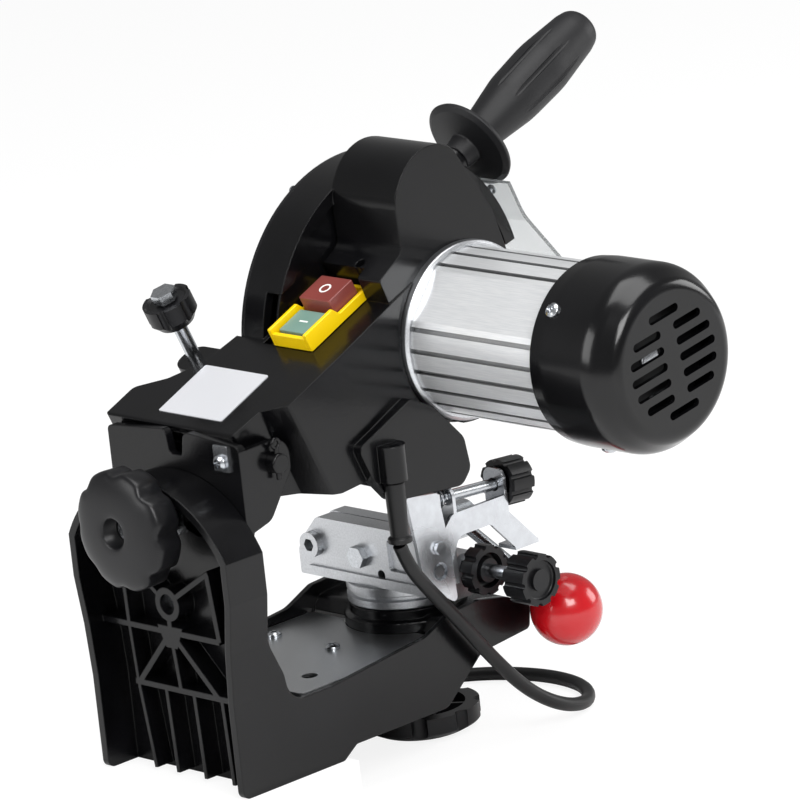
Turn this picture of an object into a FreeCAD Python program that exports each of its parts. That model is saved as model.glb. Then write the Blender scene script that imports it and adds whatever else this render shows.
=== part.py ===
import FreeCAD, Part

import math
import os

from FreeCAD import Matrix, Placement, Rotation, Vector

# Bench-mounted electric chainsaw sharpener, in millimetres.
# +X is the operator's right, -Y the operator's side (front) and +Z up. The origin is on the underside
# of the foot, at the middle of its rear edge, where the foot sits on the bench.
# The head has a frame of its own: u runs forward along the arm, n is square to the arm and points up.

SIZES = {
    # Base casting: a ribbed column with an arched top, and a hollow foot that reaches forward
    "foot_half_width": 51.0,
    "shoulder_half_width": 56.5,
    "arch_radius": 64.0,
    "base_wall": 4.0,
    "foot_length": 199.0,
    "bench_seat_length": 66.0,
    "overhang_step": 6.0,
    "nose_bottom": 30.0,
    "nose_height": 47.0,
    "platform_height": 50.5,
    "side_wall_peak": 53.7,
    "deck_height": 38.0,
    "deck_back": 46.0,
    "column_depth": 24.0,
    "column_foot_depth": 33.0,
    "web_back": 19.0,
    "rib_back": 9.0,
    "rib_width": 2.4,
    "upper_rib_height": 74.0,
    "lower_rib_height": 45.0,
    "turntable_boss_radius": 32.5,
    "boss_floor": 30.0,
    "bench_bolt_radius": 4.0,
    "bench_bolt_spacing": 60.0,
    "bench_bolt_back": 68.0,
    # Deck plate
    "deck_plate_thickness": 1.5,
    "deck_plate_length": 96.0,
    # Tilt joint between the column and the bracket
    "tilt_height": 88.0,
    "tilt_slot_arc": 43.0,
    "tilt_slot_angle": 24.0,
    "tilt_bolt_radius": 5.0,
    "running_fit": 0.05,
    "face_gap": 0.3,
    "tilt_boss_radius": 8.5,
    "bracket_thickness": 4.5,
    "bracket_half_width": 43.0,
    "bracket_top": 168.0,
    "ear_thickness": 4.0,
    "ear_radius": 11.0,
    "washer_radius": 11.0,
    "washer_thickness": 2.4,
    "big_knob_radius": 28.5,
    "big_knob_rim": 11.0,
    "big_knob_crown": 8.0,
    "big_knob_face": 19.4,
    # Head hinge
    "hinge_back": 45.0,
    "hinge_height": 155.5,
    "head_pitch": 23.1,
    "hinge_pin_radius": 5.0,
    "hinge_sleeve_radius": 8.5,
    "hinge_sleeve_half": 37.0,
    # Head casting
    "head_top": 20.6,
    "head_rear": 8.0,
    "head_near": 52.7,
    "head_far": 53.5,
    "head_wall": 4.0,
    "motor_forward": 132.9,
    "motor_drop": 20.9,
    "motor_mount_radius": 46.0,
    "guard_radius": 83.6,
    "guard_wall": 4.6,
    "guard_near": 6.2,
    "guard_far": 18.3,
    "guard_recess": 3.0,
    "guard_front_angle": 8.0,
    "guard_back_angle": 232.0,
    "guard_cover_thickness": 2.2,
    "lobe_near": 58.0,
    "gland_side": 60.0,
    "gland_forward": 49.3,
    "gland_drop": 47.6,
    "gland_radius": 4.6,
    # Label, switch and buttons on top of the arm
    "label_width": 45.0,
    "label_length": 36.0,
    "label_thickness": 0.5,
    "switch_near": 34.0,
    "switch_width": 38.0,
    "switch_back": 57.0,
    "switch_length": 48.0,
    "switch_height": 8.0,
    "start_button_length": 19.0,
    # Handle
    "handle_side": 3.0,
    "handle_forward": 206.0,
    "handle_rise": 20.0,
    "handle_tip": 3.0,
    "grip_radius": 14.5,
    "grip_length": 88.0,
    "hand_stop_radius": 25.0,
    "stud_radius": 4.0,
    # Depth stop
    "depth_side": 39.0,
    "depth_forward": 43.0,
    "depth_screw_radius": 3.5,
    "depth_screw_length": 61.2,
    "small_knob_radius": 12.5,
    "small_knob_height": 14.0,
    # Eye shield
    "shield_thickness": 2.0,
    "shield_width": 46.0,
    # Motor
    "flange_radius": 44.3,
    "flange_start": 50.0,
    "flange_width": 5.0,
    "motor_radius": 41.5,
    "motor_wall": 3.0,
    "motor_start": 55.0,
    "motor_length": 86.4,
    "fin_height": 2.2,
    "cap_radius": 46.0,
    "cap_length": 49.2,
    "cap_wall": 2.6,
    "vent_pitch": 8.2,
    "vent_width": 4.2,
    "vent_turn": -13.5,
    "shaft_radius": 6.0,
    "rotor_radius": 21.5,
    "bearing_radius": 16.0,
    "bearing_width": 9.0,
    # Grinding wheel
    "wheel_radius": 72.5,
    "wheel_width": 3.2,
    "wheel_bore": 11.1,
    "wheel_side": 4.4,
    # Turntable and vise
    "turntable_side": 2.0,
    "turntable_forward": 163.0,
    "turntable_radius": 30.0,
    "turntable_bottom": 50.8,
    "turntable_top": 62.0,
    "pivot_bolt_radius": 5.0,
    "under_knob_drop": 7.0,
    "jaw_top": 93.0,
    "jaw_end": 44.5,
    "jaw_back": 136.0,
    "jaw_thickness": 11.0,
    "jaw_gap": 3.2,
    "moving_jaw_thickness": 9.0,
    "jaw_bolt_radius": 3.0,
    "cam_height": 77.0,
    "cam_radius": 9.5,
    "lever_radius": 3.0,
    "lever_back": 203.6,
    "ball_side": 71.5,
    "ball_height": 40.8,
    "ball_radius": 18.0,
    # Chain stop
    "stop_plate_thickness": 2.2,
    "stop_screw_side": 39.5,
    "stop_screw_height": 106.6,
    "stop_screw_back": 153.0,
    "stop_screw_slope": 4.3,
    "stop_screw_radius": 3.0,
    "stop_knob_radius": 12.0,
    "feed_rod_radius": 3.5,
    "feed_rod_height": 67.0,
    "feed_rod_forward": 172.0,
    "feed_knob_radius": 13.0,
    # Power cord
    "cord_diameter": 7.0,
    "cord_floor": -21.3,
    "coil_side": 102.0,
    "coil_forward": 118.0,
    "coil_radius": 48.5,
    "coil_hole": 27.5,
    "coil_thickness": 14.0,
}

document = FreeCAD.newDocument("chainsaw_sharpener")
sheet = document.addObject("Spreadsheet::Sheet", "sizes")
for row, (alias, value) in enumerate(SIZES.items(), start=1):
    sheet.set("A%d" % row, alias)
    sheet.set("B%d" % row, str(value))
    sheet.setAlias("B%d" % row, alias)
document.recompute()

pieces = []


def size(alias):
    """A driving dimension, read from the sheet."""
    return float(sheet.get(alias))


# ---- Frames ---------------------------------------------------------------------------------------


def axes(origin, x_axis, y_axis):
    """Placement at origin whose local x and y point along the two directions given."""
    x = Vector(*x_axis).normalize()
    z = x.cross(Vector(*y_axis)).normalize()
    y = z.cross(x)
    return Placement(
        Matrix(x.x, y.x, z.x, origin[0], x.y, y.y, z.y, origin[1], x.z, y.z, z.z, origin[2], 0, 0, 0, 1)
    )


RIGHT = (1, 0, 0)
LEFT = (-1, 0, 0)
BACK = (0, 1, 0)
FRONT = (0, -1, 0)
UP = (0, 0, 1)
DOWN = (0, 0, -1)

HEAD = Placement(
    Vector(0, -size("hinge_back"), size("hinge_height")),
    Rotation(Vector(1, 0, 0), -size("head_pitch")),
)


def up_from(x, y, z):
    """Local z up."""
    return axes((x, y, z), RIGHT, BACK)


def forward_from(x, y, z):
    """Local x right, local y up, local z forward (towards -Y)."""
    return axes((x, y, z), RIGHT, UP)


def rightward_from(x, y=0.0, z=0.0):
    """Local x back, local y up, local z right: for outlines drawn in (y, z)."""
    return axes((x, y, z), BACK, UP)


def on_head(placement):
    """Moves a placement given in the head's frame to the machine's."""
    return HEAD.multiply(placement)


def head_point(x, u, n):
    """A point x to the right, u forward along the arm and n above it."""
    return HEAD.multVec(Vector(x, -u, n))


def arm_side(x):
    """For outlines drawn in (u, n): the local z axis points to the machine's left."""
    return on_head(axes((x, 0, 0), FRONT, UP))


def arm_top(n):
    """For outlines drawn in (x, u): the local z axis points down into the arm."""
    return on_head(axes((0, 0, n), RIGHT, FRONT))


def arm_normal(x, u, n):
    """Local z along the arm's normal, local y towards the rear of the arm."""
    return on_head(axes((x, -u, n), RIGHT, BACK))


def motor_axis(x):
    """Local z from the wheel towards the motor's cap, local x forward along the arm."""
    return on_head(axes((x, -size("motor_forward"), -size("motor_drop")), FRONT, UP))


# ---- Outlines and features ------------------------------------------------------------------------


def rounded(points):
    """Closed outline through the points; a third value rounds that corner to its radius."""
    count = len(points)
    corners = []
    for index, point in enumerate(points):
        here = Vector(point[0], point[1], 0)
        if len(point) == 2:
            corners.append((here, None, here))
            continue
        before = Vector(*points[index - 1][:2], 0) - here
        after = Vector(*points[(index + 1) % count][:2], 0) - here
        before.normalize()
        after.normalize()
        half = before.getAngle(after) / 2
        reach = point[2] / math.tan(half)
        inward = (before + after).normalize()
        centre = here + inward * (point[2] / math.sin(half))
        corners.append((here + before * reach, centre - inward * point[2], here + after * reach))
    edges = []
    for index, (start, middle, end) in enumerate(corners):
        if middle is not None:
            edges.append(Part.Arc(start, middle, end))
        following = corners[(index + 1) % count][0]
        if (following - end).Length > 1e-6:
            edges.append(Part.LineSegment(end, following))
    return edges


def polar(radius, degrees, centre=(0.0, 0.0)):
    """Point at a radius and angle about a centre."""
    turn = math.radians(degrees)
    return Vector(centre[0] + radius * math.cos(turn), centre[1] + radius * math.sin(turn), 0)


def notched(radius, count, depth):
    """Round outline with shallow scalloped notches, as on a moulded clamp knob."""
    edges = []
    pitch = 360.0 / count
    notch = pitch * 0.34
    for index in range(count):
        middle = index * pitch
        start = polar(radius, middle - notch / 2)
        end = polar(radius, middle + notch / 2)
        edges.append(Part.Arc(start, polar(radius - depth, middle), end))
        lobe_end = polar(radius, middle + pitch - notch / 2)
        edges.append(Part.Arc(end, polar(radius, middle + pitch / 2), lobe_end))
    return edges


def arc_slot(radius, half_width, half_angle, middle_angle=90.0):
    """Curved slot of constant width about the origin, with round ends."""
    low = middle_angle - half_angle
    high = middle_angle + half_angle
    outer = [polar(radius + half_width, angle) for angle in (low, middle_angle, high)]
    inner = [polar(radius - half_width, angle) for angle in (high, middle_angle, low)]
    cap = math.degrees(half_width / radius)
    return [
        Part.Arc(*outer),
        Part.Arc(outer[2], polar(radius, high + cap), inner[0]),
        Part.Arc(*inner),
        Part.Arc(inner[2], polar(radius, low - cap), outer[0]),
    ]


def slot(length, width, x=0.0, y=0.0):
    """Straight slot along the local x axis with round ends."""
    half = length / 2
    r = width / 2
    return rounded([(x - half, y - r, r), (x + half, y - r, r), (x + half, y + r, r), (x - half, y + r, r)])


def rectangle(x0, y0, x1, y1, radius=0.0):
    """Rectangle between two corners, rounded when a radius is given."""
    corner = (radius,) if radius else ()
    return rounded([(x0, y0) + corner, (x1, y0) + corner, (x1, y1) + corner, (x0, y1) + corner])


def hexagon(across):
    """Hexagon by its width across the flats."""
    radius = across / math.sqrt(3)
    return rounded([tuple(polar(radius, 60 * index))[:2] for index in range(6)])


def new_sketch(body, outline, role):
    """Sketch of the given geometry on one of the body's origin planes."""
    sketch = body.newObject("Sketcher::SketchObject", body.Name + "_sketch")
    plane = [feature for feature in body.Origin.OriginFeatures if feature.Role == role][0]
    sketch.AttachmentSupport = (plane, [""])
    sketch.MapMode = "FlatFace"
    sketch.addGeometry(outline, False)
    return sketch


def bind(feature, quantity, value):
    """Sets a feature's size: an expression in the sheet's names, or a plain number."""
    if isinstance(value, str):
        feature.setExpression(quantity, value)
    else:
        setattr(feature, quantity, value)


def prism(name, outline, depth, place, holes=()):
    """Body padded from an outline along its own z axis."""
    body = document.addObject("PartDesign::Body", name)
    circles = [Part.Circle(Vector(x, y, 0), Vector(0, 0, 1), radius) for x, y, radius in holes]
    sketch = new_sketch(body, outline + circles, "XY_Plane")
    pad = body.newObject("PartDesign::Pad", name + "_pad")
    pad.Profile = sketch
    bind(pad, "Length", depth)
    body.Placement = place
    return body


def turned(name, outline, place):
    """Body turned about the local z axis from an outline in (radius, z)."""
    body = document.addObject("PartDesign::Body", name)
    sketch = new_sketch(body, outline, "XZ_Plane")
    revolution = body.newObject("PartDesign::Revolution", name + "_turn")
    revolution.Profile = sketch
    revolution.ReferenceAxis = (sketch, ["V_Axis"])
    revolution.Angle = 360.0
    body.Placement = place
    return body


def cylinder(name, radius, height, place):
    """Cylinder along the local z axis."""
    shape = document.addObject("Part::Cylinder", name)
    bind(shape, "Radius", radius)
    bind(shape, "Height", height)
    shape.Placement = place
    return shape


def box(name, length, width, height, place):
    """Box from the local origin."""
    shape = document.addObject("Part::Box", name)
    bind(shape, "Length", length)
    bind(shape, "Width", width)
    bind(shape, "Height", height)
    shape.Placement = place
    return shape


def fuse(name, *shapes):
    """Union of the shapes, or a group of separate solids where they don't touch."""
    union = document.addObject("Part::MultiFuse", name)
    union.Shapes = list(shapes)
    union.Refine = False
    return union


def common(name, first, second):
    """What two shapes share."""
    both = document.addObject("Part::Common", name)
    both.Base = first
    both.Tool = second
    return both


def cut(name, base, *tools):
    """The base less its tools."""
    tool = tools[0] if len(tools) == 1 else fuse(name + "_tools", *tools)
    difference = document.addObject("Part::Cut", name)
    difference.Base = base
    difference.Tool = tool
    return difference


def made(label, shape):
    """Names a finished sub-part and puts it on the list of pieces."""
    shape.Label = label
    pieces.append(shape)
    return shape


def moved(place, x=0.0, y=0.0, z=0.0):
    """A placement shifted along its own axes."""
    return place.multiply(Placement(Vector(x, y, z), Rotation()))


def screw(name, thread, length, head_radius, head_height, place):
    """Pan-head screw with a cross recess: local z points out of the head, from its underside."""
    crown = head_height * 0.6
    body = turned(
        name + "_blank",
        rounded(
            [
                (0, -length),
                (thread, -length),
                (thread, 0),
                (head_radius, 0),
                (head_radius, crown, crown * 0.5),
                (head_radius * 0.6, head_height),
                (0, head_height),
            ]
        ),
        place,
    )
    arm = head_radius * 0.6
    blade = head_radius * 0.14
    recess = moved(place, z=crown)
    across = prism(name + "_across", rectangle(-arm, -blade, arm, blade), head_height, recess)
    along = prism(name + "_along", rectangle(-blade, -arm, blade, arm), head_height, recess)
    return cut(name, body, across, along)


def hex_bolt(name, thread, length, across, head_height, place):
    """Hexagon bolt: local z points out of the head, from its underside."""
    head = prism(name + "_hexagon", hexagon(across), head_height, place)
    shank = turned(name + "_shank", rectangle(0, -length, thread, head_height / 2), place)
    return fuse(name, head, shank)


def ring(name, outer, inner, height, place):
    """Flat ring or tube on the local z axis."""
    return turned(name, rectangle(inner, 0, outer, height), place)


def clamp_knob(name, radius, rim, crown, notches, bore, hub, place):
    """Moulded knob: a hollow skirt from z = 0, its crown at rim + crown, and a hub that reaches back."""
    skirt = prism(name + "_skirt", notched(radius, notches, radius * 0.11), rim + crown, place)
    dome = turned(
        name + "_dome",
        rounded(
            [
                (0, -1),
                (radius + 2, -1),
                (radius + 2, rim - 4),
                (radius - 0.6, rim, 3),
                (radius * 0.74, rim + crown * 0.72, radius * 0.5),
                (radius * 0.40, rim + crown),
                (0, rim + crown),
            ]
        ),
        place,
    )
    wall = radius * 0.13
    hollow = turned(
        name + "_hollow",
        rounded(
            [
                (hub + 1.5, -2),
                (radius * 0.89 - wall, -2),
                (radius * 0.89 - wall, rim - 2, 2),
                (hub + 1.5, rim - 2, 1),
            ]
        ),
        place,
    )
    ribs = [
        prism(
            "%s_rib_%d" % (name, index),
            rectangle(hub - 1, -0.8, radius * 0.82, 0.8),
            rim - 1.0,
            place.multiply(Placement(Vector(0, 0, 0.8), Rotation(Vector(0, 0, 1), 60 * index + 22))),
        )
        for index in range(6)
    ]
    shell = cut(name + "_shell", common(name + "_form", skirt, dome), hollow)
    body = fuse(name + "_body", shell, *ribs)
    bored = cylinder(name + "_bore", bore, rim + crown + 4, moved(place, z=-2))
    return cut(name, body, bored)


# ---- Base -----------------------------------------------------------------------------------------

foot_half = size("foot_half_width")
shoulder = size("shoulder_half_width")
arch = size("arch_radius")
wall = size("base_wall")
tilt_z = size("tilt_height")
deck_z = size("deck_height")
deck_back = size("deck_back")
foot_length = size("foot_length")
web_back = size("web_back")
column_y = size("column_depth")
turn_y = size("turntable_forward")
turn_x = -size("turntable_side")


def column_outline(inset, bottom):
    """Front view of the column in (x, z), drawn in by an inset: flared sides under an arched top."""
    radius = arch - inset
    side = shoulder - inset
    start_z = tilt_z + math.sqrt(radius**2 - side**2)
    low = foot_half - inset
    waist = low + (shoulder - foot_half) * 0.35
    right = [
        Vector(low, bottom, 0),
        Vector(low, 47, 0),
        Vector(waist, 73, 0),
        Vector(side, 97, 0),
        Vector(side, start_z, 0),
    ]
    left = [Vector(-point.x, point.y, 0) for point in reversed(right)]
    edges = [Part.LineSegment(a, b) for a, b in zip(right, right[1:])]
    edges.append(Part.Arc(right[-1], Vector(0, tilt_z + radius, 0), left[0]))
    edges += [Part.LineSegment(a, b) for a, b in zip(left, left[1:])]
    edges.append(Part.LineSegment(left[-1], right[0]))
    return edges


def side_outline():
    """Side view of the column and the foot in (y, z)."""
    step = size("overhang_step")
    seat = size("bench_seat_length")
    nose = size("nose_bottom")
    front = size("column_foot_depth")
    return rounded(
        [
            (0, 0, 4),
            (-seat, 0, 3),
            (-seat - 9, step, 3),
            (-foot_length + 62, step, 8),
            (-foot_length + 36, nose - 3, 10),
            (-foot_length + 2, nose, 3),
            (-foot_length, size("nose_height") - 4, 4),
            (-foot_length + 17, size("platform_height"), 12),
            (-foot_length + 34, size("side_wall_peak"), 8),
            (-foot_length + 54, size("side_wall_peak") - 1.2, 8),
            (-foot_length + 72, deck_z + 7, 14),
            (-foot_length + 108, deck_z + 3.5, 30),
            (-deck_back - 18, deck_z + 0.8, 20),
            (-front - 3.5, deck_z + 0.8, 12),
            (-front, 54, 12),
            (-column_y, 72, 20),
            (-column_y, tilt_z + arch + 2),
            (0, tilt_z + arch + 2),
        ]
    )


front_form = prism("base_front", column_outline(0, 0), "sizes.foot_length", forward_from(0, 0, 0))
side_form = prism("base_side", side_outline(), 130.0, rightward_from(-65))
base_block = common("base_block", front_form, side_form)

web_front = size("column_foot_depth") + wall
rear_pocket = prism("base_rear_pocket", column_outline(wall, -5), "sizes.web_back", forward_from(0, 0, 0))
inside = foot_half - wall
under_deck = prism(
    "base_under_deck",
    rounded(
        [
            (-web_front + 4, -5),
            (-foot_length + 5, -5),
            (-foot_length + 5, size("boss_floor") + 4),
            (-foot_length + 14, size("boss_floor") + 10, 4),
            (-turn_y + 36, size("boss_floor") + 10, 4),
            (-turn_y + 44, deck_z - wall, 4),
            (-web_front + 4, deck_z - wall, 5),
        ]
    ),
    2 * inside,
    rightward_from(-inside),
)
deck_well = prism(
    "base_deck_well",
    rounded(
        [
            (-size("column_foot_depth") - 8, deck_z, 2),
            (-size("column_foot_depth") - 8, deck_z + 30),
            (-foot_length - 5, deck_z + 30),
            (-foot_length - 5, deck_z + 12.0),
            (-turn_y + 14, deck_z + 8.5, 4),
            (-turn_y + 20, deck_z, 3),
        ]
    ),
    2 * (foot_half - 2.6),
    rightward_from(-foot_half + 2.6),
)
tilt_slot = prism(
    "base_tilt_slot",
    arc_slot(size("tilt_slot_arc"), size("tilt_bolt_radius") + 0.5, size("tilt_slot_angle")),
    40.0,
    forward_from(0, 0, tilt_z),
)
shell = cut("base_shell", base_block, rear_pocket, under_deck, deck_well, tilt_slot)

boss_radius = size("turntable_boss_radius")
turntable_boss = turned(
    "base_turntable_boss",
    rounded(
        [
            (0, size("boss_floor")),
            (boss_radius * 0.6, size("boss_floor")),
            (boss_radius * 0.6, deck_z - wall),
            (boss_radius, deck_z - wall),
            (boss_radius, 44.5, 1),
            (boss_radius - 3, 45.5),
            (boss_radius - 3, 50.5, 1),
            (0, 50.5),
        ]
    ),
    up_from(turn_x, -turn_y, 0),
)
rib_depth = web_back - size("rib_back") + 1.0
pivot_boss = cylinder(
    "base_pivot_boss", "sizes.tilt_boss_radius", rib_depth, forward_from(0, -size("rib_back"), tilt_z)
)


def rib(name, start, end, width=size("rib_width"), rear=size("rib_back")):
    """Straight rib on the web between two points of the rear view, in (x, z)."""
    length = math.hypot(end[0] - start[0], end[1] - start[1])
    slope = math.degrees(math.atan2(end[1] - start[1], end[0] - start[0]))
    place = forward_from(start[0], -rear, start[1])
    turn = Placement(Vector(0, 0, 0), Rotation(Vector(0, 0, 1), slope))
    outline = rectangle(0, -width / 2, length, width / 2)
    return prism(name, outline, web_back - rear + 1.0, place.multiply(turn))


upper = size("upper_rib_height")
lower = size("lower_rib_height")
edge = foot_half - 2
RIBS = [
    ((edge + 1, upper), (-35, upper), 3.0),
    ((30, lower), (-edge, lower), 3.0),
    ((0, upper), (27, lower), 3.0),
    ((0, upper), (-30, lower), 3.0),
    ((0, upper), (-3, lower), 2.4),
    ((0, upper), (0, tilt_z - 6), 3.0),
    ((6, tilt_z + 4), (14, tilt_z + 10), 2.4),
    ((-6, tilt_z + 4), (-32, tilt_z + 20), 2.6),
    ((30, upper), (28, lower), 2.0),
    ((-35, upper), (-31, tilt_z + 19), 3.0),
    ((30, upper), (31, tilt_z + 16), 2.4),
    ((-40, upper - 4), (-41, lower), 2.2),
    ((28, lower), (22, 2), 2.2),
    ((8, lower), (6, 2), 2.2),
    ((-12, lower), (-14, 2), 2.2),
    ((-32, lower), (-34, 2), 2.2),
]
ribs = [rib("base_rib_%d" % index, *ends) for index, ends in enumerate(RIBS)]
star = prism(
    "base_rib_star",
    rounded([(9, upper + 3), (4, upper - 8), (-4, upper - 8), (-9, upper + 3)]),
    rib_depth,
    forward_from(0, -size("rib_back"), 0),
)
bench_spots = [(side * size("bench_bolt_spacing") / 2, -size("bench_bolt_back")) for side in (-1, 1)]
bench_holes = [
    cylinder("base_bench_hole_%d" % index, "sizes.bench_bolt_radius", 20.0, up_from(x, y, deck_z - 15))
    for index, (x, y) in enumerate(bench_spots)
]
pivot_hole = cylinder(
    "base_pivot_hole", "sizes.tilt_bolt_radius + sizes.running_fit", 60.0, forward_from(0, 0, tilt_z)
)
bolt_hole = cylinder(
    "base_turntable_hole", "sizes.pivot_bolt_radius + sizes.running_fit", 40.0, up_from(turn_x, -turn_y, 20)
)
cast = fuse("base_cast", shell, turntable_boss, pivot_boss, star, *ribs)
deck_screw_spots = [(-8.0, -104.0), (34.0, -104.0)]
deck_taps = [
    cylinder("base_deck_tap_%d" % index, 2.0, 12.0, up_from(x, y, deck_z - 8))
    for index, (x, y) in enumerate(deck_screw_spots)
]
made("base_casting", cut("base_machined", cast, pivot_hole, bolt_hole, *bench_holes, *deck_taps))

plate_half = foot_half - 3.2
plate = prism(
    "deck_plate_sheet",
    rectangle(-plate_half, -deck_back - size("deck_plate_length"), plate_half, -deck_back, 3),
    "sizes.deck_plate_thickness",
    up_from(0, 0, deck_z),
    holes=[(x, y, size("bench_bolt_radius")) for x, y in bench_spots]
    + [(x, y, 2.2) for x, y in deck_screw_spots],
)
plate_clearance = cylinder(
    "deck_plate_clearance",
    "sizes.turntable_boss_radius + sizes.face_gap",
    20.0,
    up_from(turn_x, -turn_y, deck_z - 5),
)
made("deck_plate", cut("deck_plate_cut", plate, plate_clearance))
plate_top = deck_z + size("deck_plate_thickness")
made(
    "deck_screws",
    fuse(
        "deck_screw_pair",
        *[
            screw("deck_screw_%d" % index, 2.0, 7.0, 3.8, 2.4, up_from(x, y, plate_top))
            for index, (x, y) in enumerate(deck_screw_spots)
        ],
    ),
)

# ---- Tilt bracket, its bolts and the big clamp knob -----------------------------------------------

gap = size("face_gap")
hinge_y = -size("hinge_back")
hinge_z = size("hinge_height")
bracket_half = size("bracket_half_width")
ear = size("ear_thickness")
bracket_back = column_y + gap
bracket_front = bracket_back + size("bracket_thickness")
bracket_top = size("bracket_top")
slot_z = tilt_z + size("tilt_slot_arc")
pivot_radius = size("hinge_pin_radius")
outer_half = bracket_half + ear

bracket_plate = prism(
    "bracket_plate",
    rounded(
        [
            (-outer_half, 124, 4),
            (-15, 90, 12),
            (-11, 76, 8),
            (11, 76, 8),
            (15, 90, 12),
            (outer_half, 124, 4),
            (outer_half, bracket_top, 3),
            (5, bracket_top + 3, 4),
            (3, bracket_top - 9, 2),
            (-6, bracket_top - 9, 2),
            (-8, bracket_top + 3, 4),
            (-outer_half, bracket_top, 3),
        ]
    ),
    "sizes.bracket_thickness",
    forward_from(0, -bracket_back, 0),
    holes=[
        (0, tilt_z, size("tilt_bolt_radius")),
        (0, slot_z, size("tilt_bolt_radius")),
        (-35, 159.5, 2.0),
    ],
)
ear_round = size("ear_radius")


def bracket_ear(name, x):
    """Ear that carries the hinge pin, drawn in (y, z)."""
    outline = rounded(
        [
            (-bracket_back - 1, 124, 2),
            (-bracket_back - 16, 128, 8),
            (hinge_y - ear_round, hinge_z - 6, 8),
            (hinge_y - ear_round, hinge_z + ear_round, ear_round - 1),
            (-bracket_back - 1, hinge_z + ear_round - 1, 2),
        ]
    )
    hole = [(hinge_y, hinge_z, pivot_radius)]
    return prism(name, outline, "sizes.ear_thickness", rightward_from(x), holes=hole)


near_ear = bracket_ear("bracket_near_ear", -outer_half)
far_ear = bracket_ear("bracket_far_ear", bracket_half)
anvil_top = 156.8
anvil_front = -96.0
anvil_arm = prism(
    "bracket_anvil_arm",
    rounded(
        [
            (hinge_y + 3, 136),
            (-60, 134, 8),
            (-88, 140, 6),
            (anvil_front, 147, 4),
            (anvil_front, anvil_top),
            (-80, anvil_top, 2),
            (-80, 149, 3),
            (hinge_y - ear_round + 2, 149),
            (hinge_y + 3, 146),
        ]
    ),
    "sizes.ear_thickness",
    rightward_from(bracket_half),
)
anvil = box("bracket_anvil", outer_half - 34, 16.0, 5.8, up_from(34, anvil_front, anvil_top - 5.8))
made("tilt_bracket", fuse("bracket_body", bracket_plate, near_ear, far_ear, anvil_arm, anvil))

made(
    "tilt_pivot_bolt",
    hex_bolt(
        "tilt_pivot",
        size("tilt_bolt_radius"),
        bracket_front - size("rib_back") - 5,
        16.0,
        6.0,
        forward_from(0, -bracket_front, tilt_z),
    ),
)
knob_back = size("big_knob_face") - size("big_knob_rim") - size("big_knob_crown")
washer_front = web_back - gap
washer_back = washer_front - size("washer_thickness")
made(
    "tilt_clamp_bolt",
    hex_bolt(
        "tilt_clamp",
        size("tilt_bolt_radius"),
        bracket_front + knob_back + size("big_knob_rim"),
        16.0,
        6.0,
        forward_from(0, -bracket_front, slot_z),
    ),
)
backward = axes((0, -washer_front, slot_z), LEFT, UP)
made(
    "tilt_washer",
    ring(
        "tilt_washer_disc",
        size("washer_radius"),
        size("tilt_bolt_radius") + size("running_fit"),
        size("washer_thickness"),
        backward,
    ),
)
knob_place = axes((0, knob_back, slot_z), LEFT, UP)
big_knob = clamp_knob(
    "big_knob",
    size("big_knob_radius"),
    size("big_knob_rim"),
    size("big_knob_crown"),
    8,
    size("tilt_bolt_radius") + size("running_fit"),
    8.5,
    knob_place,
)
knob_hub = ring(
    "big_knob_hub",
    8.5,
    size("tilt_bolt_radius") + size("running_fit"),
    knob_back + washer_back - gap + 6,
    moved(knob_place, z=-knob_back - washer_back + gap),
)
made("tilt_knob", fuse("tilt_knob_body", big_knob, knob_hub))

clip_back = -bracket_back
clip_profile = rounded([(0, 0), (10, 0), (10, 13, 1.5), (0, 13, 1.5)])
clip = prism(
    "pin_clip_sheet",
    clip_profile,
    1.2,
    axes((-30, clip_back, 155), LEFT, UP),
    holes=[(5.0, 4.5, 2.1)],
)
made("pin_clip", clip)
made(
    "pin_clip_screw",
    screw("clip_screw", 2.0, 5.0, 4.0, 2.6, axes((-35, clip_back + 1.2, 159.5), LEFT, UP)),
)

# ---- Head hinge -----------------------------------------------------------------------------------

sleeve_half = size("hinge_sleeve_half")
far_skin = size("head_far")
pin_far = far_skin + gap
pin_start = -outer_half - 6.0
pin = turned(
    "hinge_pin_turned",
    rounded(
        [
            (0, pin_start),
            (pivot_radius, pin_start, 0.8),
            (pivot_radius, pin_far),
            (8.0, pin_far),
            (8.0, pin_far + 3.0, 1.0),
            (0, pin_far + 3.0),
        ]
    ),
    axes((0, hinge_y, hinge_z), BACK, UP),
)
split_x = -outer_half - 3.2
split_hole = cylinder("hinge_split_hole", 1.3, 14.0, up_from(split_x, hinge_y, hinge_z - 7))
made("hinge_pin", cut("hinge_pin_drilled", pin, split_hole))
split_leg = cylinder("split_pin_leg", 1.25, 16.0, up_from(split_x, hinge_y, hinge_z - 8))
split_eye = document.addObject("Part::Torus", "split_pin_eye")
split_eye.Radius1 = 2.2
split_eye.Radius2 = 0.9
split_eye.Placement = axes((split_x, hinge_y, hinge_z + 9.6), BACK, UP)
made("hinge_split_pin", fuse("split_pin_body", split_leg, split_eye))

spring_side = sleeve_half + 3.1
coil_wire = 0.8
lift_rings = []
for index in range(2):
    turn = document.addObject("Part::Torus", "lift_spring_turn_%d" % index)
    turn.Radius1 = pivot_radius + gap + coil_wire
    turn.Radius2 = coil_wire
    turn.Placement = rightward_from(-spring_side - index * 1.5, hinge_y, hinge_z)
    lift_rings.append(turn)
lift_leg = cylinder(
    "lift_spring_leg",
    coil_wire,
    11.0,
    axes((-spring_side, hinge_y, hinge_z - pivot_radius - gap - coil_wire), RIGHT, UP),
)
made("lift_spring", fuse("lift_spring_wire", *lift_rings, lift_leg))

# ---- Head casting ---------------------------------------------------------------------------------

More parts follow.
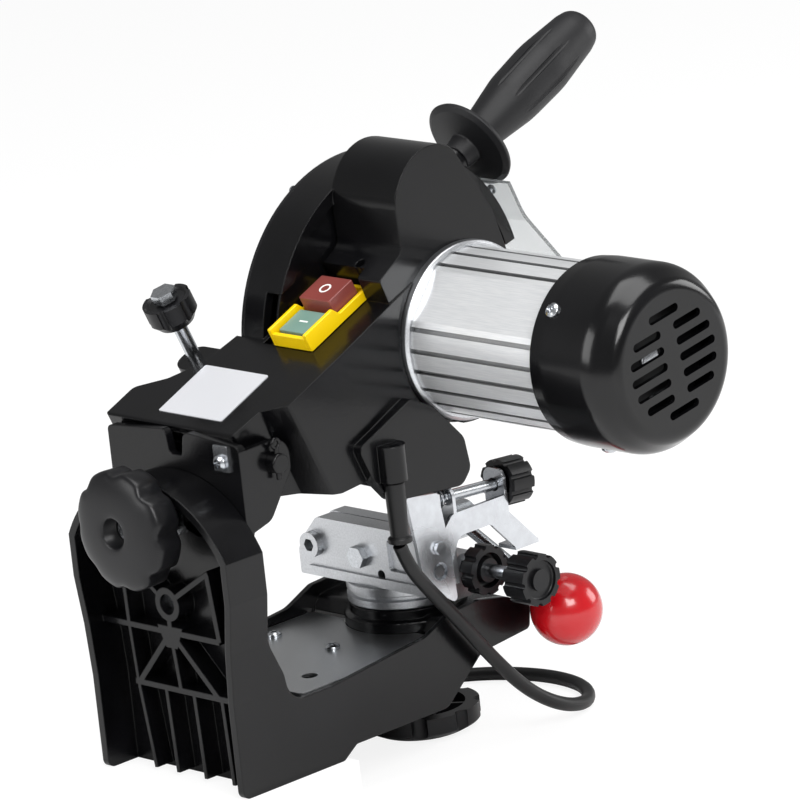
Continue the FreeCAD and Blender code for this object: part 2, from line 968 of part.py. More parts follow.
top_n = size("head_top")
near = size("head_near")
far = size("head_far")
head_wall = size("head_wall")
motor_u = size("motor_forward")
motor_n = -size("motor_drop")
guard_r = size("guard_radius")
guard_near = -size("guard_near")
guard_far = size("guard_far")
rear_u = -size("head_rear")
lobe = size("lobe_near")

plan_form = prism(
    "head_plan",
    rounded(
        [
            (far, rear_u, 1.5),
            (far, 13, 5),
            (38, 23, 5),
            (32.5, 30, 10),
            (26, 41, 12),
            (23, 60, 6),
            (guard_far, 70),
            (guard_far, motor_u),
            (-near + 2.7, motor_u),
            (-near, 57, 4),
            (-near, 19, 2),
            (-39, 11, 2),
            (-37.6, rear_u, 1.5),
        ]
    ),
    140.0,
    arm_top(top_n),
)
profile_form = prism(
    "head_profile",
    rounded(
        [
            (rear_u - 0.5, top_n, 2),
            (motor_u, top_n),
            (motor_u, -52),
            (100, -52, 4),
            (46, -44, 8),
            (24, -37, 8),
            (1, -23, 8),
            (rear_u - 0.5, -14, 3),
        ]
    ),
    130.0,
    arm_side(60),
)
arm = common("head_arm", plan_form, profile_form)
motor_mount = cylinder(
    "head_motor_mount",
    "sizes.motor_mount_radius",
    "sizes.flange_start - sizes.guard_near + 1",
    motor_axis(guard_near + 1),
)
lobe_outline = [
    (40, -22, 4),
    (40, -42, 3),
    (45, -58, 6),
    (86, -80, 7),
    (95, -76, 6),
    (99, -60, 8),
    (90, -34, 8),
    (80, -22, 4),
]
lobe_root = near - 1.5
terminal_lobe = prism("head_lobe", rounded(lobe_outline), lobe - lobe_root, arm_side(-lobe_root))
front_u = 175.0
bulge = prism(
    "head_bulge",
    rounded(
        [
            (97, top_n - 30),
            (99, 34, 2),
            (118, 37, 7),
            (127, 62, 18),
            (150, 79, 26),
            (171, 63, 12),
            (front_u + 3, 20, 4),
            (front_u - 3, -45),
            (motor_u, -45),
        ]
    ),
    near - 2.7 + guard_near + 1,
    arm_side(guard_near + 1),
)
guard_drum = cylinder(
    "head_guard_drum",
    "sizes.guard_radius",
    "sizes.guard_far + sizes.guard_near",
    motor_axis(guard_far),
)


def sector(name, radius, start, end, depth, place):
    """Wedge about the motor axis between two angles of the side view."""
    steps = 5
    points = [(0, 0)]
    for index in range(steps + 1):
        spot = polar(radius, start + (end - start) * index / steps)
        points.append((spot.x, spot.y))
    return prism(name, rounded(points), depth, place)


open_start = size("guard_back_angle") - 360
open_end = -size("guard_front_angle")
guard_mouth = sector("head_guard_mouth", 150.0, open_start, open_end, 40.0, motor_axis(guard_far + 1))
near_wall_back = ring(
    "head_guard_recess",
    guard_r - size("guard_wall") - 2.0,
    motor_mount.Radius.Value + 2,
    size("guard_recess"),
    motor_axis(guard_near + size("guard_recess")),
)
guard_band = cut("head_guard_band", guard_drum, guard_mouth, near_wall_back)
handle_place = on_head(
    axes(
        (size("handle_side"), -size("handle_forward"), size("handle_rise")),
        RIGHT,
        Rotation(Vector(1, 0, 0), -size("handle_tip")).multVec(Vector(0, 0, 1)),
    )
)
handle_boss = cylinder("head_handle_boss", 8.0, 14.0, moved(handle_place, z=-14.0 + 3.0))
depth_x = size("depth_side")
depth_u = size("depth_forward")
depth_lug = prism(
    "head_depth_lug",
    rounded(
        [
            (20, depth_u - 9),
            (depth_x + 9, depth_u - 9, 8),
            (depth_x + 9, depth_u + 9, 8),
            (20, depth_u + 9),
        ]
    ),
    12.0,
    arm_top(top_n - 3),
)
hinge_sleeve = turned(
    "head_hinge_sleeve",
    rectangle(0, -sleeve_half, size("hinge_sleeve_radius"), sleeve_half),
    axes((0, hinge_y, hinge_z), BACK, UP),
)
gland = head_point(-size("gland_side"), size("gland_forward"), -size("gland_drop"))
gland_r = size("gland_radius")
gland_boss = cylinder("head_gland_boss", "sizes.gland_radius + 2.6", 18.0, up_from(gland.x, gland.y, gland.z))
solid_head = fuse(
    "head_solid",
    arm,
    motor_mount,
    terminal_lobe,
    gland_boss,
    bulge,
    guard_band,
    handle_boss,
    depth_lug,
    hinge_sleeve,
)

wheel_chamber = cylinder(
    "head_wheel_chamber",
    "sizes.guard_radius - sizes.guard_wall",
    "sizes.guard_far + 5",
    motor_axis(guard_far + 2),
)
mount_bore = turned(
    "head_mount_bore",
    rounded(
        [
            (0, 0),
            (size("bearing_radius"), 0),
            (size("bearing_radius"), size("bearing_width") + 2),
            (size("bearing_radius") + 4, size("bearing_width") + 2),
            (size("bearing_radius") + 4, 0),
            (40, 0),
            (40, 42),
            (0, 42),
        ]
    ),
    motor_axis(-14),
)
shaft_hole = cylinder("head_shaft_hole", 12.0, 30.0, motor_axis(0))
wiring_room = prism(
    "head_wiring_room",
    rounded(
        [
            (24, top_n - head_wall, 3),
            (82, top_n - head_wall, 3),
            (82, -38, 3),
            (48, -36, 3),
            (28, -29, 4),
        ]
    ),
    near - head_wall + 14,
    arm_side(14),
)
lobe_room = prism(
    "head_lobe_room",
    rounded([(46, -30, 3), (46, -50, 3), (80, -68, 3), (78, -40, 3)]),
    lobe - 4 - 44,
    arm_side(-44),
)
lobe_relief = prism(
    "head_lobe_relief",
    rectangle(56, -95, 108, -53.5),
    lobe - 3 - 46,
    arm_side(-46),
)
rear_room = prism(
    "head_rear_room",
    rounded([(rear_u - 5, top_n - head_wall), (14, top_n - head_wall, 3), (14, -40), (rear_u - 5, -40)]),
    outer_half + 0.6 + 33.0,
    arm_side(outer_half + 0.6),
)
sleeve_room = ring(
    "head_sleeve_room",
    60.0,
    size("hinge_sleeve_radius"),
    2 * sleeve_half,
    rightward_from(-sleeve_half, hinge_y, hinge_z),
)
ear_room = common("head_rear_cut", rear_room, sleeve_room)
far_ear_room = box(
    "head_far_ear_room",
    ear + 2 * 0.6,
    70.0,
    50.0,
    on_head(axes((bracket_half - 0.6, -28, -34), RIGHT, BACK)),
)
far_sleeve_room = box(
    "head_far_room",
    bracket_half - sleeve_half + 1.0,
    60.0,
    50.0,
    on_head(axes((sleeve_half, -16, -34), RIGHT, BACK)),
)
pin_bore = turned(
    "head_pin_bore",
    rectangle(0, -70, pivot_radius + size("running_fit"), 70),
    axes((0, hinge_y, hinge_z), BACK, UP),
)
relief_r = gland_r + 1.0
gland_bore = turned(
    "head_gland_bore",
    rounded([(0, -40), (relief_r, -40), (relief_r, -0.3), (gland_r, -0.3), (gland_r, 10), (0, 10)]),
    up_from(gland.x, gland.y, gland.z),
)
depth_bore = cylinder(
    "head_depth_bore",
    "sizes.depth_screw_radius + sizes.running_fit",
    40.0,
    arm_normal(depth_x, depth_u, 0),
)
stud_bore = cylinder("head_stud_bore", "sizes.stud_radius", 30.0, moved(handle_place, z=-12.0))
switch_back = size("switch_back")
switch_length = size("switch_length")
switch_near = -size("switch_near")
switch_width = size("switch_width")
switch_cut = box(
    "head_switch_cut",
    switch_width - 4,
    switch_length - 2,
    12.0,
    on_head(axes((switch_near + 2, -switch_back - switch_length + 1, top_n - 8), RIGHT, BACK)),
)
block_screw_hole = cylinder("head_block_hole", 2.6, 12.0, arm_normal(-29, 108, 26))
cover_spots = [polar(guard_r - 2.4, angle) for angle in (20, 95, 170, 222)]
cover_taps = [
    cylinder("head_cover_tap_%d" % index, 1.5, 9.0, moved(motor_axis(guard_far), spot.x, spot.y, 0))
    for index, spot in enumerate(cover_spots)
]
cover_room = cylinder("head_cover_room", "sizes.guard_radius + 0.3", 14.0, motor_axis(guard_far + 14))
flange_room = cylinder(
    "head_flange_room", "sizes.flange_radius + 0.5", 12.0, motor_axis(-size("flange_start"))
)
switch_room = box(
    "head_switch_room",
    switch_width + 2 * gap,
    switch_length + 2 * gap,
    18.0,
    on_head(axes((switch_near - gap, -switch_back - switch_length - gap, top_n), RIGHT, BACK)),
)
shield_half = size("shield_width") / 2
shield_u = motor_u + guard_r + 1.2
shield_x = (guard_far + guard_near) / 2


def shield_hole(name, x):
    """Hole for one screw of the eye shield, through the guard's front and the shield."""
    return cylinder(name, 1.5, 24.0, on_head(axes((x, -shield_u + 16, motor_n + 16), RIGHT, UP)))


shield_spots = (shield_x - 7.5, shield_x + 7.5)
shield_taps = [shield_hole("head_shield_tap_%d" % index, x) for index, x in enumerate(shield_spots)]
made(
    "head_housing",
    cut(
        "head_machined",
        solid_head,
        wheel_chamber,
        mount_bore,
        shaft_hole,
        wiring_room,
        lobe_room,
        lobe_relief,
        ear_room,
        far_ear_room,
        far_sleeve_room,
        pin_bore,
        gland_bore,
        cover_room,
        flange_room,
        switch_room,
        *shield_taps,
        depth_bore,
        stud_bore,
        switch_cut,
        block_screw_hole,
        *cover_taps,
    ),
)

cover_disc = cylinder(
    "cover_disc",
    "sizes.guard_radius - 0.4",
    "sizes.guard_cover_thickness",
    motor_axis(guard_far + size("guard_cover_thickness")),
)
cover_mouth = sector("cover_mouth", 150.0, open_start, open_end, 40.0, motor_axis(guard_far + 10))
cover_holes = [
    cylinder("cover_hole_%d" % index, 1.5, 20.0, moved(motor_axis(guard_far + 10), spot.x, spot.y, 0))
    for index, spot in enumerate(cover_spots)
]
made("guard_cover", cut("guard_cover_plate", cover_disc, cover_mouth, *cover_holes))
cover_out = on_head(axes((guard_far + size("guard_cover_thickness"), -motor_u, motor_n), BACK, UP))


def guard_screw(name, place):
    """Screw shared by the guard's cover and the eye shield."""
    return screw(name, 1.5, 6.0, 2.6, 1.7, place)


cover_screws = [
    guard_screw("cover_screw_%d" % index, moved(cover_out, -spot.x, spot.y, 0))
    for index, spot in enumerate(cover_spots)
]

# ---- Label, switch and buttons --------------------------------------------------------------------

label_half = size("label_width") / 2
made(
    "label_plate",
    prism(
        "label_sheet",
        rectangle(-label_half, -size("label_length"), label_half, 0, 1.0),
        "sizes.label_thickness",
        arm_normal(0, 0, top_n),
    ),
)
frame_wall = 4.2
frame_near = switch_near
frame_far = switch_near + switch_width
frame_front = switch_back + switch_length
frame_height = size("switch_height")
button_split = switch_back + frame_wall + 0.4 + size("start_button_length") + 0.8
frame_plan = prism(
    "switch_frame_plan",
    rectangle(frame_near, -frame_front, frame_far, -switch_back, 2.5),
    14.0,
    arm_normal(0, 0, top_n),
)
frame_side = prism(
    "switch_frame_side",
    rounded(
        [
            (switch_back - 1, top_n),
            (frame_front + 1, top_n),
            (frame_front + 1, top_n + frame_height + 2.6, 2),
            (frame_front - 5, top_n + frame_height + 2.2, 2),
            (button_split + 4, top_n + frame_height, 2),
            (button_split - 3, top_n + frame_height - 3.4, 2),
            (switch_back + 6, top_n + frame_height - 1.6, 2),
            (switch_back - 1, top_n + frame_height - 3.4),
        ]
    ),
    80.0,
    arm_side(40),
)
frame_form = common("switch_frame_form", frame_plan, frame_side)
well_near = frame_near + frame_wall
well_far = frame_far - frame_wall
frame_wells = [
    box(
        "switch_frame_well_%d" % index,
        well_far - well_near,
        end - start,
        30.0,
        on_head(axes((well_near, -end, top_n - 5), RIGHT, BACK)),
    )
    for index, (start, end) in enumerate(
        ((switch_back + frame_wall, button_split - 0.8), (button_split + 0.8, frame_front - frame_wall))
    )
]
made("switch_frame", cut("switch_frame_body", frame_form, *frame_wells))
body_clear = 5.2
switch_deep = 20.0
button_low = top_n - 1.2
button_gap = 0.4


def button(name, start, end, rear_top, front_top):
    """Moulded button in one well of the frame; its top slopes along the arm."""
    outline = rounded(
        [
            (start + button_gap, button_low),
            (end - button_gap, button_low),
            (end - button_gap, front_top, 1.2),
            (start + button_gap, rear_top, 1.2),
        ]
    )
    width = well_far - well_near - 2 * button_gap
    return prism(name, outline, width, arm_side(well_far - button_gap))


start_end = button_split - 0.8
made("start_button", button("start_key", switch_back + frame_wall, start_end, top_n + 4.4, top_n + 5.4))
stop_top = top_n + 10.5
made(
    "stop_button",
    button("stop_key", button_split + 0.8, frame_front - frame_wall, stop_top, stop_top + 4.5),
)

# ---- Handle ---------------------------------------------------------------------------------------

grip_r = size("grip_radius")
stop_r = size("hand_stop_radius")
grip_start = 24.0
grip_end = grip_start + size("grip_length")
grip_form = turned(
    "grip_form",
    rounded(
        [
            (0, 4),
            (7.5, 4, 1),
            (8.6, 12, 1),
            (stop_r - 3, 13.5, 1),
            (stop_r, 15.5, 0.8),
            (stop_r - 1, 17.6, 0.8),
            (10.2, 18.6, 2),
            (10.2, grip_start, 6),
            (grip_r, grip_start + 28, 60),
            (grip_r + 0.6, grip_start + 52, 60),
            (grip_r - 2.2, grip_end - 9, 20),
            (grip_r - 4.5, grip_end, 7),
            (0, grip_end),
        ]
    ),
    handle_place,
)
stud_hole = cylinder("grip_bore", "sizes.stud_radius", 50.0, moved(handle_place, z=-2))
flutes = [
    cylinder(
        "grip_flute_%d" % index,
        1.5,
        58.0,
        moved(handle_place, *tuple(polar(grip_r + 0.5, 45 * index + 12))[:2], grip_start + 14),
    )
    for index in range(8)
]
made("handle_grip", cut("grip_body", grip_form, stud_hole, *flutes))
made(
    "handle_stud",
    turned("handle_stud_rod", rectangle(0, -11.5, size("stud_radius"), 45), handle_place),
)

# ---- Depth stop -----------------------------------------------------------------------------------

depth_r = size("depth_screw_radius")
knob_low = top_n + 19.0
small_r = size("small_knob_radius")
small_height = size("small_knob_height")
knob_top = knob_low + small_height
made(
    "depth_stop_screw",
    hex_bolt(
        "depth_screw", depth_r, size("depth_screw_length"), 11.0, 5.0, arm_normal(depth_x, depth_u, knob_top)
    ),
)
small_form = prism(
    "depth_knob_form", notched(small_r, 6, 1.8), small_height, arm_normal(depth_x, depth_u, knob_low)
)
small_turned = turned(
    "depth_knob_turned",
    rounded(
        [
            (depth_r, 0),
            (small_r - 3.5, 0, 1),
            (small_r - 1.5, 3, 2),
            (small_r + 1, 6, 1),
            (small_r + 1, small_height),
            (small_r - 2.0, small_height + 0.0, 0.8),
            (small_r - 3.2, small_height - 1.2, 0.4),
            (depth_r, small_height - 1.2),
        ]
    ),
    arm_normal(depth_x, depth_u, knob_low),
)
made("depth_stop_knob", common("depth_knob_body", small_form, small_turned))

# ---- Eye shield -----------------------------------------------------------------------------------

shield_t = size("shield_thickness")
shield_outline = rounded(
    [
        (shield_u, motor_n + 22),
        (shield_u + shield_t, motor_n + 22),
        (shield_u + shield_t, motor_n + 2, 30),
        (shield_u + 24, motor_n - 74),
        (shield_u + 24 - shield_t, motor_n - 74),
        (shield_u, motor_n + 2, 30),
    ]
)
shield = prism("eye_shield_sheet", shield_outline, "sizes.shield_width", arm_side(shield_x + shield_half))
shield_holes = [shield_hole("eye_shield_hole_%d" % index, x) for index, x in enumerate(shield_spots)]
made("eye_shield", cut("eye_shield_drilled", shield, *shield_holes))
shield_screws = [
    guard_screw("shield_screw_%d" % index, on_head(axes((x, -shield_u - shield_t, motor_n + 16), RIGHT, UP)))
    for index, x in enumerate(shield_spots)
]
made("guard_screws", fuse("guard_screw_set", *cover_screws, *shield_screws))

# ---- Motor ----------------------------------------------------------------------------------------

motor_r = size("motor_radius")
motor_inner = motor_r - size("motor_wall")
motor_start = -size("motor_start")
motor_end = motor_start - size("motor_length")
shaft_r = size("shaft_radius")
fin = size("fin_height")
flange_start = -size("flange_start")
made(
    "motor_flange",
    turned(
        "motor_flange_ring",
        rounded(
            [
                (shaft_r + 12, 0),
                (size("flange_radius"), 0),
                (size("flange_radius"), size("flange_width") - 1.2, 1),
                (size("flange_radius") - 1.6, size("flange_width")),
                (motor_r - 6, size("flange_width")),
                (motor_r - 6, 2.5),
                (shaft_r + 12, 2.5),
            ]
        ),
        motor_axis(flange_start),
    ),
)
GROOVES = 22
PANEL_MIDDLE = 117.0
PANEL_HALF = 25.0
tube = ring("motor_tube", motor_r, motor_inner - 0.1, size("motor_length"), motor_axis(motor_start))
groove_boxes = []
for index in range(GROOVES):
    angle = PANEL_MIDDLE + PANEL_HALF + (360 - 2 * PANEL_HALF) * index / (GROOVES - 1)
    spin = Placement(Vector(0, 0, 0), Rotation(Vector(0, 0, 1), angle))
    groove = prism(
        "motor_groove_%d" % index,
        rounded([(motor_r - fin, -1.5), (motor_r + 2, -0.9), (motor_r + 2, 0.9), (motor_r - fin, 1.5)]),
        size("motor_length") + 2,
        moved(motor_axis(motor_start), z=-1).multiply(spin),
    )
    groove_boxes.append(groove)
panel_chord = motor_r * math.cos(math.radians(PANEL_HALF)) + 1.6
panel_flat = box(
    "motor_panel_flat",
    20.0,
    2 * motor_r,
    size("motor_length") + 2,
    moved(
        moved(motor_axis(motor_start), z=-1).multiply(
            Placement(Vector(0, 0, 0), Rotation(Vector(0, 0, 1), PANEL_MIDDLE))
        ),
        x=panel_chord,
        y=-motor_r,
    ),
)
made("motor_body", cut("motor_body_extrusion", tube, panel_flat, *groove_boxes))

cap_r = size("cap_radius")
cap_wall = size("cap_wall")
cap_length = size("cap_length")
cap_lap = 2.0
cap_blank = turned(
    "cap_blank",
    rounded(
        [
            (motor_inner, 0),
            (motor_r, 0),
            (motor_r, -cap_lap),
            (cap_r - 0.6, -cap_lap, 1),
            (cap_r, 6, 30),
            (cap_r, cap_length - 12, 16),
            (cap_r - 8, cap_length, 7),
            (0, cap_length),
            (0, cap_length - cap_wall),
            (cap_r - 9, cap_length - cap_wall, 6),
            (cap_r - cap_wall, cap_length - 12, 14),
            (cap_r - cap_wall, 8),
            (motor_inner, 8),
        ]
    ),
    motor_axis(motor_end),
)
pitch = size("vent_pitch")
vent_field = 27.0
vent_turn = Placement(Vector(0, 0, 0), Rotation(Vector(0, 0, 1), size("vent_turn")))
vents = []
for index in range(7):
    height = (index - 3) * pitch
    reach = math.sqrt(max(vent_field**2 - height**2, 0))
    if index in (0, 6):
        spans = [(-reach + 1, reach - 1)]
    else:
        spans = [(-reach - 2, -4.5), (4.5, reach + 2)]
    for side, (low, high) in enumerate(spans):
        vents.append(
            prism(
                "cap_vent_%d_%d" % (index, side),
                slot(high - low, size("vent_width"), (high + low) / 2, height),
                cap_wall + 6,
                moved(motor_axis(motor_end), z=cap_length - cap_wall - 3).multiply(vent_turn),
            )
        )
CAP_SCREWS = (117.5, 237.5, 357.5)
cap_screw_z = 8.0


def around_cap(angle, radius):
    """Local z out along a radius of the cap, at one of its screws."""
    outward = polar(1.0, angle)
    spot = motor_axis(motor_end).multVec(Vector(outward.x * radius, outward.y * radius, cap_screw_z))
    direction = motor_axis(motor_end).Rotation.multVec(outward)
    along = motor_axis(motor_end).Rotation.multVec(Vector(0, 0, 1))
    return axes(tuple(spot), tuple(along), tuple(direction.cross(along)))


screw_bores = [
    cylinder("cap_screw_bore_%d" % index, 2.0, 16.0, moved(around_cap(angle, cap_r), z=-14))
    for index, angle in enumerate(CAP_SCREWS)
]
screw_posts = [
    box(
        "cap_screw_post_%d" % index,
        8.0,
        8.0,
        cap_r - motor_inner + 2,
        moved(around_cap(angle, cap_r - 1.2), x=-4, y=-4, z=-cap_r + motor_inner + 1),
    )
    for index, angle in enumerate(CAP_SCREWS)
]
post_limit = cylinder("cap_post_limit", cap_r - 0.8, 40.0, moved(motor_axis(motor_end), z=0.0))
posts = common("cap_posts", fuse("cap_post_set", *screw_posts), post_limit)
screw_seats = [
    cylinder("cap_screw_seat_%d" % index, 3.9, 6.0, around_cap(angle, cap_r - 0.25))
    for index, angle in enumerate(CAP_SCREWS)
]
cap_solid = fuse("cap_solid", cap_blank, posts)
made("motor_end_cap", cut("cap_pierced", cap_solid, *vents, *screw_bores, *screw_seats))
made(
    "motor_cap_screws",
    fuse(
        "cap_screw_set",
        *[
            screw("cap_screw_%d" % index, 1.9, 7.0, 3.8, 2.4, around_cap(angle, cap_r - 0.25))
            for index, angle in enumerate(CAP_SCREWS)
        ],
    ),
)

rotor_r = size("rotor_radius")
bearing_r = size("bearing_radius")
bearing_w = size("bearing_width")
core_start = motor_start - 8.0
core_length = 58.0
bell_rim = motor_inner - 0.3
made(
    "motor_rear_bell",
    turned(
        "rear_bell_disc",
        rounded(
            [
                (bearing_r, -3),
                (bearing_r + 4, -3),
                (bearing_r + 4, -1),
                (bell_rim - 3, -1),
                (bell_rim - 3, -7),
                (bell_rim, -7),
                (bell_rim, 2),
                (bearing_r + 4, 2),
                (bearing_r + 4, bearing_w - 3),
                (bearing_r, bearing_w - 3),
            ]
        ),
        motor_axis(motor_end),
    ),
)
bearings = [
    ring("motor_bearing_%d" % index, bearing_r, shaft_r + size("running_fit"), bearing_w, motor_axis(x))
    for index, x in enumerate((-15.0, motor_end + 3))
]
made("motor_bearings", fuse("motor_bearing_pair", *bearings))
made(
    "stator",
    ring("stator_stack", motor_inner - 0.1, rotor_r + 0.6, core_length, motor_axis(core_start)),
)
made("rotor_core", ring("rotor_stack", rotor_r, shaft_r, core_length, motor_axis(core_start)))
shaft_end = motor_end - 34.0
shaft_start = size("wheel_side") + size("wheel_width") + 9.5
made(
    "rotor_shaft",
    turned(
        "rotor_shaft_bar",
        rounded([(0, shaft_end), (shaft_r, shaft_end, 1), (shaft_r, shaft_start, 1), (0, shaft_start)]),
        on_head(axes((0, -motor_u, motor_n), BACK, UP)),
    ),
)
fan_z = motor_end - 20.0
fan_hub = ring("fan_hub", 12.0, shaft_r, 12.0, motor_axis(fan_z))
fan_disc = ring("fan_disc", 36.0, 11.0, 1.8, moved(motor_axis(fan_z), z=10.2))
blades = []
for index in range(9):
    blade_turn = Placement(Vector(0, 0, 0), Rotation(Vector(0, 0, 1), 40 * index))
    blade_place = moved(motor_axis(fan_z).multiply(blade_turn), 11.5)
    blades.append(box("fan_blade_%d" % index, 22.0, 1.6, 11.0, blade_place))
made("cooling_fan", fuse("fan_body", fan_hub, fan_disc, *blades))

# ---- Grinding wheel -------------------------------------------------------------------------------

wheel_x = size("wheel_side")
wheel_w = size("wheel_width")
wheel_bore = size("wheel_bore")
rightward = on_head(axes((0, -motor_u, motor_n), BACK, UP))
outer_face = wheel_x + wheel_w
inner_flange = turned(
    "inner_flange_disc",
    rounded(
        [
            (shaft_r, -2.6),
            (16, -2.6, 1),
            (21, wheel_x - 2.2),
            (21, wheel_x),
            (wheel_bore, wheel_x),
            (wheel_bore, outer_face - 0.4),
            (shaft_r, outer_face - 0.4),
        ]
    ),
    rightward,
)
outer_flange = ring("outer_flange_disc", 21.0, shaft_r, 3.2, moved(rightward, z=outer_face))
made("wheel_flanges", fuse("wheel_flange_pair", inner_flange, outer_flange))
made(
    "grinding_wheel",
    turned(
        "wheel_disc",
        rounded(
            [
                (wheel_bore, wheel_x),
                (size("wheel_radius") - 1.2, wheel_x),
                (size("wheel_radius"), wheel_x + wheel_w / 2, 1.2),
                (size("wheel_radius") - 1.2, outer_face),
                (wheel_bore, outer_face),
            ]
        ),
        rightward,
    ),
)
nut_form = prism("wheel_nut_form", hexagon(19.0), 5.2, moved(rightward, z=outer_face + 3.2))
nut_bore = cylinder("wheel_nut_bore", "sizes.shaft_radius", 20.0, moved(rightward, z=outer_face))
made("wheel_nut", cut("wheel_nut_tapped", nut_form, nut_bore))

# ---- Turntable and vise ---------------------------------------------------------------------------

table_low = size("turntable_bottom")
table_high = size("turntable_top")
table_r = size("turntable_radius")
pivot_r = size("pivot_bolt_radius")
jaw_back = -size("jaw_back")
jaw_t = size("jaw_thickness")
jaw_high = size("jaw_top")
jaw_end = -size("jaw_end")
jaw_face = jaw_back - jaw_t
bolt_r = size("jaw_bolt_radius")
cam_z = size("cam_height")
feed_z = size("feed_rod_height")
feed_y = -size("feed_rod_forward")
feed_r = size("feed_rod_radius")
fit = size("running_fit")

table_form = turned(
    "turntable_disc",
    rounded(
        [
            (0, table_low),
            (table_r, table_low, 1),
            (table_r, table_low + 4),
            (table_r - 1.6, table_low + 4.8),
            (table_r - 1.6, table_low + 6.2),
            (table_r, table_low + 7),
            (table_r, table_high, 1),
            (0, table_high),
        ]
    ),
    up_from(turn_x, -turn_y, 0),
)
lug_side = -37.0
feed_lug = prism(
    "turntable_feed_lug",
    rounded(
        [
            (-9, table_low + 1),
            (9, table_low + 1),
            (9, feed_z - 3),
            (7, feed_z + 7, 5),
            (-7, feed_z + 7, 5),
            (-9, feed_z - 3),
        ]
    ),
    14.0,
    rightward_from(lug_side, feed_y, 0),
)
table_hole = cylinder("turntable_hole", "sizes.pivot_bolt_radius", 60.0, up_from(turn_x, -turn_y, 30))
feed_hole = cylinder("turntable_feed_hole", feed_r + fit, 40.0, rightward_from(lug_side - 10, feed_y, feed_z))
made("turntable", cut("turntable_bored", fuse("turntable_cast", table_form, feed_lug), table_hole, feed_hole))

fixed_form = prism(
    "fixed_jaw_form",
    rounded(
        [
            (jaw_end, table_high, 1),
            (jaw_end, jaw_high, 2),
            (30, jaw_high, 4),
            (38.5, 84, 6),
            (45, 75, 7),
            (45, table_high, 1),
        ]
    ),
    "sizes.jaw_thickness",
    forward_from(0, jaw_back, 0),
    holes=[(-14.0, 69.0, 2.6)],
)
jaw_rail = prism(
    "fixed_jaw_rail",
    rounded([(-44, 64, 1), (38, 64, 1), (38, 67.5, 1), (-44, 67.5, 1)]),
    2.0,
    forward_from(0, jaw_back + 1.5, 0),
)
jaw_pocket = prism(
    "fixed_jaw_pocket",
    rectangle(-44, 72, -20, jaw_high - 5, 2),
    2.5,
    forward_from(0, jaw_back + 0.5, 0),
)
jaw_boss = cylinder("fixed_jaw_boss", 6.5, 5.0, axes((33, jaw_back - 1, 79), LEFT, UP))
socket = prism("fixed_jaw_socket", hexagon(6.0), 8.0, axes((33, jaw_back - 3, 79), LEFT, UP))
bolt_hole_fixed = cylinder("fixed_jaw_hole", bolt_r, 60.0, forward_from(0, jaw_back + 10, cam_z))
fixed_cast = fuse("fixed_jaw_cast", fixed_form, jaw_rail, jaw_boss)
stop_tap_spot = (-143.0, 74.0)
stop_tap = cylinder("fixed_jaw_stop_tap", 2.0, 8.0, rightward_from(jaw_end - 2, *stop_tap_spot))
made("fixed_jaw", cut("fixed_jaw_machined", fixed_cast, socket, jaw_pocket, bolt_hole_fixed, stop_tap))

moving_face = jaw_face - size("jaw_gap")
moving_front = moving_face - size("moving_jaw_thickness")
moving_form = prism(
    "moving_jaw_form",
    rounded(
        [
            (jaw_end, table_high + gap, 1),
            (jaw_end, jaw_high - 1, 3),
            (36, jaw_high - 1, 3),
            (36, table_high + gap, 1),
        ]
    ),
    "sizes.moving_jaw_thickness",
    forward_from(0, moving_face, 0),
    holes=[(0.0, cam_z, bolt_r + fit)],
)
moving_groove = box(
    "moving_jaw_groove", 90.0, 1.2, 2.0, up_from(-50, moving_face - 1.2, jaw_high - 12)
)
made("moving_jaw", cut("moving_jaw_grooved", moving_form, moving_groove))

lever_y = -size("lever_back")
cam_half = 6.0
cam_r = size("cam_radius")
cam_back = lever_y + cam_half
cam_front = lever_y - cam_half
nut_height = 4.6
made(
    "jaw_bolt",
    hex_bolt(
        "clamp_bolt",
        bolt_r,
        jaw_back - cam_front + gap + nut_height + 3,
        10.0,
        4.0,
        axes((0, jaw_back, cam_z), LEFT, UP),
    ),
)
jaw_nut = prism("jaw_nut_form", hexagon(10.0), nut_height, forward_from(0, cam_front - gap, cam_z))
jaw_nut_bore = cylinder("jaw_nut_bore", bolt_r, 20.0, forward_from(0, cam_front + 4, cam_z))
made("jaw_bolt_nut", cut("jaw_nut_tapped", jaw_nut, jaw_nut_bore))

lever_reach = Vector(-size("ball_side"), 0, size("ball_height") - cam_z)
lever_length = lever_reach.Length
lever_place = axes((0, lever_y, cam_z), BACK, tuple(Vector(0, -1, 0).cross(lever_reach)))
ball_r = size("ball_radius")
cam = ring("clamp_cam", cam_r, bolt_r + fit, 2 * cam_half, forward_from(0, cam_back, cam_z))
rod_start = cam_r - 1
lever_rod = cylinder(
    "clamp_rod", "sizes.lever_radius", lever_length - rod_start, moved(lever_place, z=rod_start)
)
cam_hub = ring(
    "clamp_cam_hub",
    6.0,
    bolt_r + fit,
    moving_front - gap - cam_back + 1,
    forward_from(0, moving_front - gap, cam_z),
)
made("clamp_lever", fuse("clamp_lever_body", cam, cam_hub, lever_rod))
ball_form = document.addObject("Part::Sphere", "clamp_ball_form")
ball_form.setExpression("Radius", "sizes.ball_radius")
ball_form.Placement = moved(lever_place, z=lever_length)
ball_neck = cylinder("clamp_ball_neck", 6.5, 6.0, moved(lever_place, z=lever_length - ball_r - 2))
ball_bore = cylinder("clamp_ball_bore", "sizes.lever_radius", 40.0, moved(lever_place, z=lever_length - 40))
made("clamp_ball", cut("clamp_ball_bored", fuse("clamp_ball_body", ball_form, ball_neck), ball_bore))

